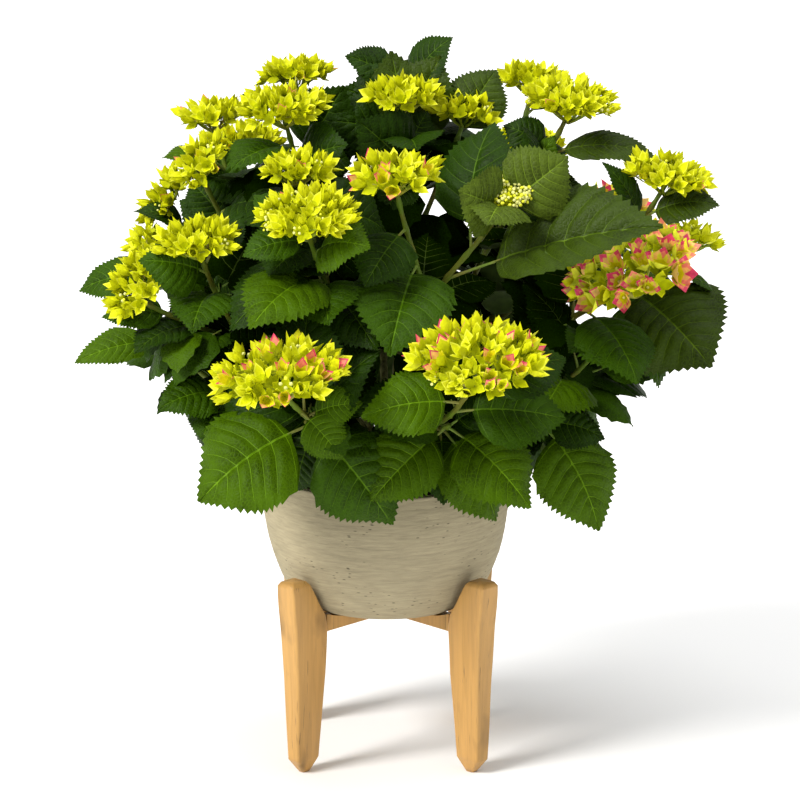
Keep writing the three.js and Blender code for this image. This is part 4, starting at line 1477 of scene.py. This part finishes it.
def make_leaves(settings):
    fine = LeafForm(8, (0, 0.03, 0.3, 0.6, 0.86, 1.0), (3, 4), True)
    coarse = LeafForm(5, (0, 0.5, 1.0), (), False)
    blades, veins = [], []
    for name, gloss in LEAF_TONES:
        tone = tuple(getattr(settings, f"{name}_leaf"))
        blades.append(leaf_finish(f"leaf_{name}", tone, gloss))
        veins.append(plain_finish(f"vein_{name}", vein_colour(tone), 0.5))
    under = plain_finish("leaf_underside", (0.06, 0.1, 0.018), 0.6)
    stalk = stem_finish("leaf_stalk", (0.16, 0.26, 0.035), (0.2, 0.2, 0.04))
    materials = [*blades, *veins, under, stalk]
    count = len(LEAF_TONES)
    gathered = {side: Sheaf() for side in SIDES}
    home = {limb: sheaf for side, sheaf in gathered.items() for limb in SIDES[side]}
    for limb, is_fine, root, tip, face, habit, tone in list_leaves(settings):
        form, thick, sides = (fine, 1.9, 6) if is_fine else (coarse, 1.1, 4)
        points, joint = leaf_skin(form, root, tip, face, habit)
        dealt = np.array([tone, count + tone, 2 * count])[form.roles]
        home[limb].add(points, form.faces, dealt)
        radii = np.linspace(thick, thick * 0.7, len(joint))
        home[limb].add(*tube(joint, radii, sides), 2 * count + 1)
    for side, sheaf in gathered.items():
        leaves = piece_from(f"leaves_{side}", sheaf, materials)
        leaves.data.set_sharp_from_angle(angle=SHARP)
        settle(leaves, "foliage", *(f"mass_{limb}" for limb in SIDES[side]))


# ---------------------------------------------------------------------------------- florets

# Materials of a floret's faces. The base colour is partly the sepals' greener foot and partly
# painted shade between florets; the tip colour is partly their paler ends and partly a painted
# highlight on the rims.
BASE_AND_SHADE, BODY, TIP_AND_HIGHLIGHT, PINK, PALE, BEAD, PEDICEL, ROSE = range(8)
# Kinds of floret, in the order of their templates' names.
CLOSED, OPEN, BLUSHED, PINKISH, BUDS, SHADED, SPECKS, TINGED, ROSY = range(9)
# Sides of a sepal: how far along its length and how far across its half width.
LANCE = ((0.0, -0.3), (0.3, -0.92), (0.62, -0.84), (1.0, 0.0), (0.62, 0.84), (0.3, 0.92),
         (0.0, 0.3))
ROUND = ((0.0, -0.3), (0.28, -0.88), (0.56, -0.95), (0.8, -0.5), (1.06, 0.0),
         (0.8, 0.5), (0.56, 0.95), (0.28, 0.88), (0.0, 0.3))
# Styles of head: size of florets, how thickly they stand, and kinds with running chances.
STYLES = {
    "lime": (1.0, 1.9, ((0.08, TINGED), (0.55, CLOSED), (0.91, OPEN), (1, SPECKS))),
    "blushed": (1.16, 1.6, ((0.34, BLUSHED), (0.64, CLOSED), (0.93, OPEN), (1, SPECKS))),
    "pink": (1.36, 1.4, ((0.34, ROSY), (0.88, PINKISH), (1, BLUSHED))),
    "buds": (0.43, 1.9, ((0.9, BUDS), (1, OPEN))),
}
# Heads that are not plain lime, by limb and shoot.
HEAD_STYLES = {
    ("right_side", 1): "pink", ("front_upper_right", 1): "buds", ("front_left", 0): "blushed",
    ("front_right", 0): "blushed", ("front_upper_right", 0): "blushed", ("back", 1): "blushed",
    ("back_right", 1): "pink",
}
# Name, colour, roughness and grain of each material of the florets. The settings choose the
# colours that are left open here.
FLORET_FINISHES = (
    # Darker base: the sepals' greener foot and painted shade between the florets.
    ("sepal_base", (0.5, 0.54, 0.002), 0.6, 160),
    ("sepal_lime", None, 0.5, 160),
    # Paler tip: the sepals' paler ends and a painted highlight on their rims.
    ("sepal_tip", (0.82, 0.84, 0.05), 0.6, 160),
    ("sepal_pink", None, 0.5, 220),
    ("sepal_pale", (0.9, 0.56, 0.16), 0.6, 220),
    ("bud_cream", (0.8, 0.8, 0.26), 0.4, 160),
    ("pedicel_green", (0.26, 0.32, 0.004), 0.6, 120),
    ("sepal_rose", (0.86, 0.25, 0.17), 0.5, 220),
)


def sepal(length, width, cup, open_angle, spin, tones, core_share=0.78, edge=LANCE):
    """One cupped sepal: a closed shell with a rim, opening from upright by an angle.

    The tones are those of its foot, middle, upper part, side rim and tip rim.
    """
    foot, middle, upper, rim, tip_rim = tones
    count, last = len(edge), len(edge) - 1
    points = []
    for shrink, rise in ((1.0, 1.0), (core_share, 0.55)):
        for along, aside in edge:
            along = 0.5 + (along - 0.5) * (shrink if along > 0.5 else 1.0)
            height = 0.35 * length * along**1.6 + 0.5 * width * abs(aside) * rise
            points.append((length * along, aside * shrink * width, cup * height))
    points += [(length * 0.36, 0, cup * length * 0.04), (length * 0.42, 0, -0.06 * length)]
    core, below = 2 * count, 2 * count + 1
    faces, roles = [], []
    for first in range(last):
        after = first + 1
        faces += [(first, after, after + count), (first, after + count, first + count),
                  (first + count, after + count, core), (after, first, below)]
        at_tip = abs(first + 0.5 - last / 2) < 1
        at_foot = first in (0, last - 1)
        outer = tip_rim if at_tip else foot if at_foot else rim
        roles += [outer, outer, upper if at_tip else foot if at_foot else middle, middle]
    faces += [(last, 0, count), (last, count, last + count), (last + count, count, core),
              (0, last, below)]
    roles += [foot] * 4
    lean = Matrix.Rotation(-(math.pi / 2 - open_angle), 4, "Y")
    shift = Matrix.Translation((0.06 * length, 0, 0))
    turn = np.array(Matrix.Rotation(spin, 4, "Z") @ shift @ lean)
    return np.array(points) @ turn[:3, :3].T + turn[:3, 3], np.array(faces), roles


def bead(radius, height, tone):
    """A small round bud."""
    points = [(0, 0, 1), (0, 0, -1)]
    for ring, level in ((0, 0.34), (1, -0.34)):
        points += [polar(0.94, angle + ring, level) for angle in all_round(6)]
    faces = []
    for number in range(6):
        a, b = 2 + number, 2 + (number + 1) % 6
        faces += [(0, a, b), (a, a + 6, b), (b, a + 6, b + 6), (1, b + 6, a + 6)]
    return np.array(points) * radius + vec(0, 0, height), np.array(faces), [tone] * len(faces)


def pedicel(length, radius):
    """A floret's own stalk, below its middle."""
    path = np.array([(0, 0, -length), (0, 0, 0.02)])
    points, faces = tube(path, [radius * 0.8, radius * 1.3], 3)
    return points, faces, [PEDICEL] * len(faces)


def assembled(parts):
    """Parts of points, faces and roles as one."""
    points, faces, roles, count = [], [], [], 0
    for part_points, part_faces, part_roles in parts:
        points.append(part_points)
        faces.append(np.asarray(part_faces) + count)
        roles += list(part_roles)
        count += len(part_points)
    return np.concatenate(points), np.concatenate(faces), np.array(roles)


def floret_kinds():
    """The templates of the florets, each about one sepal long, by names in the kinds' order."""
    kinds = {}
    # Rims take the tip colour, partly a painted highlight along the edges; feet take the base
    # colour, partly painted shade.
    closed, tipped = (BASE_AND_SHADE, BODY, BODY, TIP_AND_HIGHLIGHT, TIP_AND_HIGHLIGHT), (BASE_AND_SHADE, BODY, BODY, TIP_AND_HIGHLIGHT, ROSE)
    blushed = ((BASE_AND_SHADE, BODY, PALE, TIP_AND_HIGHLIGHT, PINK), tipped, (BASE_AND_SHADE, BODY, ROSE, PALE, PINK), closed)
    for label, sepals, opening, count, wide in (
        ("a_closed", (closed,), 0.36, 4, 0.29), ("b_open", (closed,), 0.78, 5, 0.29),
        ("c_blushed", blushed, 0.6, 4, 0.33), ("h_tinged", (tipped, closed, closed), 0.5, 4, 0.29),
    ):
        parts = [pedicel(0.9, 0.055)]
        for number, spin in enumerate(all_round(count)):
            spread = opening * (1.0 + 0.35 * math.sin(number * 2.1))
            size = 1.06 - 0.16 * (number % 2)
            tones = sepals[number % len(sepals)]
            parts.append(sepal(size, wide, 0.6, spread, spin, tones))
        kinds[label] = assembled(parts)
    # Pink florets' middles take the paler tip colour: painted light that brightens these heads.
    pinkish = ((BODY, TIP_AND_HIGHLIGHT, ROSE, PALE, PINK), (BODY, TIP_AND_HIGHLIGHT, PALE, TIP_AND_HIGHLIGHT, PINK),
               (BODY, TIP_AND_HIGHLIGHT, PALE, PALE, ROSE), (BODY, TIP_AND_HIGHLIGHT, ROSE, TIP_AND_HIGHLIGHT, PINK))
    rosy = ((BODY, PALE, PINK, ROSE, PINK), (BODY, TIP_AND_HIGHLIGHT, ROSE, PALE, PINK),
            (BODY, PALE, PINK, PINK, PINK), (BODY, TIP_AND_HIGHLIGHT, ROSE, ROSE, PINK))
    for label, sepals in (("d_pink", pinkish), ("i_rosy", rosy)):
        parts = [pedicel(0.9, 0.05), bead(0.1, 0.12, BEAD)]
        for number, (tones, spin) in enumerate(zip(sepals, all_round(4) + 0.3)):
            spread = 0.72 + 0.3 * (number % 2)
            parts.append(sepal(0.92, 0.44, 0.75, spread, spin, tones, 0.6, ROUND))
        kinds[label] = assembled(parts)
    # The under layer is painted all in the darker base colour, as shade under the dome.
    painted_shade_tones = (BASE_AND_SHADE, BASE_AND_SHADE, BASE_AND_SHADE, BASE_AND_SHADE, BODY)
    shaded = [sepal(0.86, 0.3, 0.5, 0.95, spin, painted_shade_tones) for spin in all_round(4)]
    kinds["e_buds"] = assembled([pedicel(0.8, 0.05), *bead_ring(3, 0.28, 0.34)])
    kinds["f_shaded"] = assembled([pedicel(0.9, 0.05), *shaded])
    kinds["g_specks"] = assembled([pedicel(0.9, 0.04), *bead_ring(4, 0.1, 0.24)])
    return kinds


def bead_ring(count, radius, reach):
    """Round buds in a ring, at two heights in turn."""
    parts = []
    for number, angle in enumerate(all_round(count)):
        points, faces, roles = bead(radius, 0.3 + 0.1 * (number % 2), TIP_AND_HIGHLIGHT if number == 1 else BEAD)
        parts.append((points + polar(reach, angle), faces, roles))
    return parts


def head_florets(centre, axis, width, size, crowding, mix):
    """Places of one head's florets over its dome, and of the shaded ones under them."""
    side = across(axis, vec(0, 1, 0.2))
    other = np.cross(axis, side)
    rows = []
    reach = width * 0.5 - size * 0.6
    count = int(round(crowding * (reach / (size * 0.5)) ** 2))
    for index in range(count):
        tilt = math.acos(1 - (index + 0.5) / count * 1.1)
        out = spoke(side, other, index * GOLDEN_ANGLE + STREAM.uniform(-0.2, 0.2))
        jitter = STREAM.uniform(-0.07, 0.05)
        point = centre + out * reach * math.sin(min(tilt, math.pi / 2)) * (1 + jitter)
        rise = reach * 0.3 * math.cos(tilt) - width * 0.1 + STREAM.uniform(-1.5, 3.0)
        normal = unit(out * math.sin(tilt) * 0.9 + axis * (math.cos(tilt) + 0.35)
                      + vec(*(STREAM.uniform(-0.22, 0.22) for _ in range(3))))
        scale, chance = size * STREAM.uniform(0.8, 1.18), STREAM.random()
        kind = next(kind for below, kind in mix if chance < below)
        rows.append((point + axis * rise, normal, scale, kind))
    under = int(count * 0.7)
    for index in range(under):
        tilt = math.acos(1 - (index + 0.5) / under)
        out = spoke(side, other, index * GOLDEN_ANGLE + 1.0)
        rise = reach * 0.22 * math.cos(tilt) - width * 0.12
        point = centre + out * reach * 0.85 * math.sin(tilt) + axis * rise
        normal = unit(out * math.sin(tilt) + axis * (math.cos(tilt) + 0.3))
        rows.append((point, normal, size * 0.95, SHADED))
    return rows


def make_blossom(settings):
    size = settings.floret_size / MM
    chosen = {"sepal_lime": tuple(settings.sepal), "sepal_pink": tuple(settings.blush)}
    finishes = [plain_finish(name, colour or chosen[name], roughness, grain)
                for name, colour, roughness, grain in FLORET_FINISHES]
    kinds = floret_kinds()
    for side, limbs in SIDES.items():
        rows = []
        for name, index, centre, width in HEADS:
            if name not in limbs:
                continue
            grown, crowding, mix = STYLES[HEAD_STYLES.get((name, index), "lime")]
            axis = head_axis(name, index)
            florets = head_florets(centre, axis, width, size * grown, crowding, mix)
            for point, normal, scale, kind in florets:
                spin = Quaternion((0, 0, 1), STREAM.uniform(0, 6.28))
                turn = (Vector(normal).to_track_quat("Z", "Y") @ spin).to_euler()
                rows.append((point, tuple(turn), scale, kind))
        blossom = scatter(f"blossom_{side}", rows, kinds, finishes)
        settle(blossom, "foliage", *(f"mass_{limb}" for limb in limbs))


# ---------------------------------------------------------------------------- geometry nodes

def scatter_tree(name, materials):
    """A node tree that stands templates on points and deals out materials by face."""
    tree = bpy.data.node_groups.new(name, "GeometryNodeTree")
    nodes, links = tree.nodes, tree.links

    def socket(label, way, kind):
        return tree.interface.new_socket(name=label, in_out=way, socket_type=f"NodeSocket{kind}")

    def attribute(label, kind):
        node = nodes.new("GeometryNodeInputNamedAttribute")
        node.data_type = kind
        node.inputs["Name"].default_value = label
        return node.outputs["Attribute"]

    socket("Geometry", "INPUT", "Geometry")
    templates = socket("Templates", "INPUT", "Collection")
    size = socket("Size", "INPUT", "Float")
    socket("Geometry", "OUTPUT", "Geometry")
    start, end = nodes.new("NodeGroupInput"), nodes.new("NodeGroupOutput")
    points = nodes.new("GeometryNodeMeshToPoints")
    collection = nodes.new("GeometryNodeCollectionInfo")
    collection.inputs["Separate Children"].default_value = True
    collection.inputs["Reset Children"].default_value = True
    stand = nodes.new("GeometryNodeInstanceOnPoints")
    stand.inputs["Pick Instance"].default_value = True
    rotation = nodes.new("FunctionNodeEulerToRotation")
    scale = nodes.new("ShaderNodeMath")
    scale.operation = "MULTIPLY"
    realize = nodes.new("GeometryNodeRealizeInstances")
    for source, target in (
        (start.outputs["Geometry"], points.inputs["Mesh"]),
        (start.outputs["Templates"], collection.inputs["Collection"]),
        (attribute("turn", "FLOAT_VECTOR"), rotation.inputs["Euler"]),
        (attribute("size", "FLOAT"), scale.inputs[0]),
        (start.outputs["Size"], scale.inputs[1]),
        (points.outputs["Points"], stand.inputs["Points"]),
        (collection.outputs["Instances"], stand.inputs["Instance"]),
        (attribute("kind", "INT"), stand.inputs["Instance Index"]),
        (rotation.outputs["Rotation"], stand.inputs["Rotation"]),
        (scale.outputs[0], stand.inputs["Scale"]),
        (stand.outputs["Instances"], realize.inputs["Geometry"]),
    ):
        links.new(source, target)
    flow = realize.outputs["Geometry"]
    for number, material in enumerate(materials):
        same = nodes.new("FunctionNodeCompare")
        same.data_type = "INT"
        same.operation = "EQUAL"
        links.new(attribute("tone", "INT"), same.inputs[2])
        same.inputs[3].default_value = number
        deal = nodes.new("GeometryNodeSetMaterial")
        deal.inputs["Material"].default_value = material
        links.new(flow, deal.inputs["Geometry"])
        links.new(same.outputs["Result"], deal.inputs["Selection"])
        flow = deal.outputs["Geometry"]
    links.new(flow, end.inputs["Geometry"])
    return tree, templates.identifier, size.identifier


def add_values(mesh, name, kind, domain, values):
    """Adds an attribute to a mesh, with its values."""
    field = "vector" if kind == "FLOAT_VECTOR" else "value"
    values = np.asarray(values, np.int32 if kind == "INT" else np.float32)
    mesh.attributes.new(name, kind, domain).data.foreach_set(field, values.ravel())


def scatter(name, rows, kinds, materials):
    """One plain mesh of templates stood on places, by Geometry Nodes."""
    shelf = bpy.data.collections.new(f"{name}_templates")
    for label, (points, faces, tones) in kinds.items():
        mesh = mesh_from(f"{name}_{label}", points, faces, np.zeros(len(faces)), [])
        add_values(mesh, "tone", "INT", "FACE", tones)
        shelf.objects.link(bpy.data.objects.new(f"{name}_{label}", mesh))
    places, turns, sizes, numbers = zip(*rows)
    base = bpy.data.meshes.new(name)
    base.vertices.add(len(rows))
    base.vertices.foreach_set("co", place(places).astype(np.float32).ravel())
    add_values(base, "turn", "FLOAT_VECTOR", "POINT", turns)
    add_values(base, "size", "FLOAT", "POINT", sizes)
    add_values(base, "kind", "INT", "POINT", numbers)
    piece = linked(name, base)
    tree, templates, size = scatter_tree(f"{name}_on_places", materials)
    modifier = piece.modifiers.new("scatter", "NODES")
    modifier.node_group = tree
    modifier[templates] = shelf
    modifier[size] = MM
    piece.update_tag()
    bpy.context.view_layer.update()
    made = piece.evaluated_get(bpy.context.evaluated_depsgraph_get())
    mesh = bpy.data.meshes.new_from_object(made)
    mesh.name = name
    mesh.set_sharp_from_angle(angle=SHARP)
    piece.modifiers.clear()
    piece.data = mesh
    for template in list(shelf.objects):
        bpy.data.objects.remove(template)
    bpy.data.collections.remove(shelf)
    hold_in_box(mesh)
    return piece


def hold_in_box(mesh):
    """Keeps every point of a mesh inside the CAD box."""
    points = np.empty(3 * len(mesh.vertices), np.float32)
    mesh.vertices.foreach_get("co", points)
    mesh.vertices.foreach_set("co", in_box(points.reshape(-1, 3)).astype(np.float32).ravel())
    mesh.update()


# ------------------------------------------------------------------------------------ stage

# The place the camera looks at, in millimetres round the pot's axis.
TARGET = vec(15.4, 0, 398.6)
# The camera's height in degrees, its distance and the width it sees there, in metres.
ELEVATION, DISTANCE, VIEW_WIDTH = 15, 6.0, 0.88
SENSOR_WIDTH = 36
FLOOR_RADIUS = 30
SKY_STRENGTH = 0.55
# Name, place, strength, softness in degrees and colour of each sun.
SUNS = (("key", (-2.1, -1.5, 2.2), 3.1, 20, (1.0, 0.98, 0.95)),
        ("top", (0.2, 0.0, 2.0), 1.5, 50, (1.0, 1.0, 1.0)))


def add_sun(name, source, strength, softness, colour):
    """A broad soft light that falls evenly from one side."""
    data = bpy.data.lights.new(name, "SUN")
    data.energy = strength
    data.angle = math.radians(softness)
    data.color = colour
    light = bpy.data.objects.new(name, data)
    light.location = source
    light.rotation_euler = (-Vector(source)).to_track_quat("-Z", "Y").to_euler()
    bpy.context.scene.collection.objects.link(light)


def make_stage():
    scene = bpy.context.scene
    target = TARGET * MM + AXIS
    back = Vector((0, -math.cos(math.radians(ELEVATION)), math.sin(math.radians(ELEVATION))))
    data = bpy.data.cameras.new("camera")
    data.sensor_width = SENSOR_WIDTH
    data.lens = SENSOR_WIDTH * DISTANCE / VIEW_WIDTH
    camera = bpy.data.objects.new("camera", data)
    camera.location = Vector(target) + back * DISTANCE
    camera.rotation_euler = (-back).to_track_quat("-Z", "Y").to_euler()
    scene.collection.objects.link(camera)
    scene.camera = camera
    scene.view_settings.view_transform = "Standard"

    shape = bmesh.new()
    bmesh.ops.create_circle(shape, cap_ends=True, radius=FLOOR_RADIUS, segments=96)
    mesh = bpy.data.meshes.new("floor")
    shape.to_mesh(mesh)
    shape.free()
    finish = Finish("floor_pale", (0.97, 0.97, 0.97), 0.95, 0.0)
    mesh.materials.append(finish.material)
    linked("floor", mesh)

    world = bpy.data.worlds.new("studio")
    scene.world = world
    world.use_nodes = True
    sky = world.node_tree.nodes["Background"]
    sky.inputs["Color"].default_value = (1, 1, 1, 1)
    sky.inputs["Strength"].default_value = SKY_STRENGTH
    for sun in SUNS:
        add_sun(*sun)


def main():
    register()
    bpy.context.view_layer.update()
    for operator in OPERATORS:
        getattr(bpy.ops.hydrangea, operator.bl_idname.split(".")[1])()


if __name__ == "__main__":
    main()
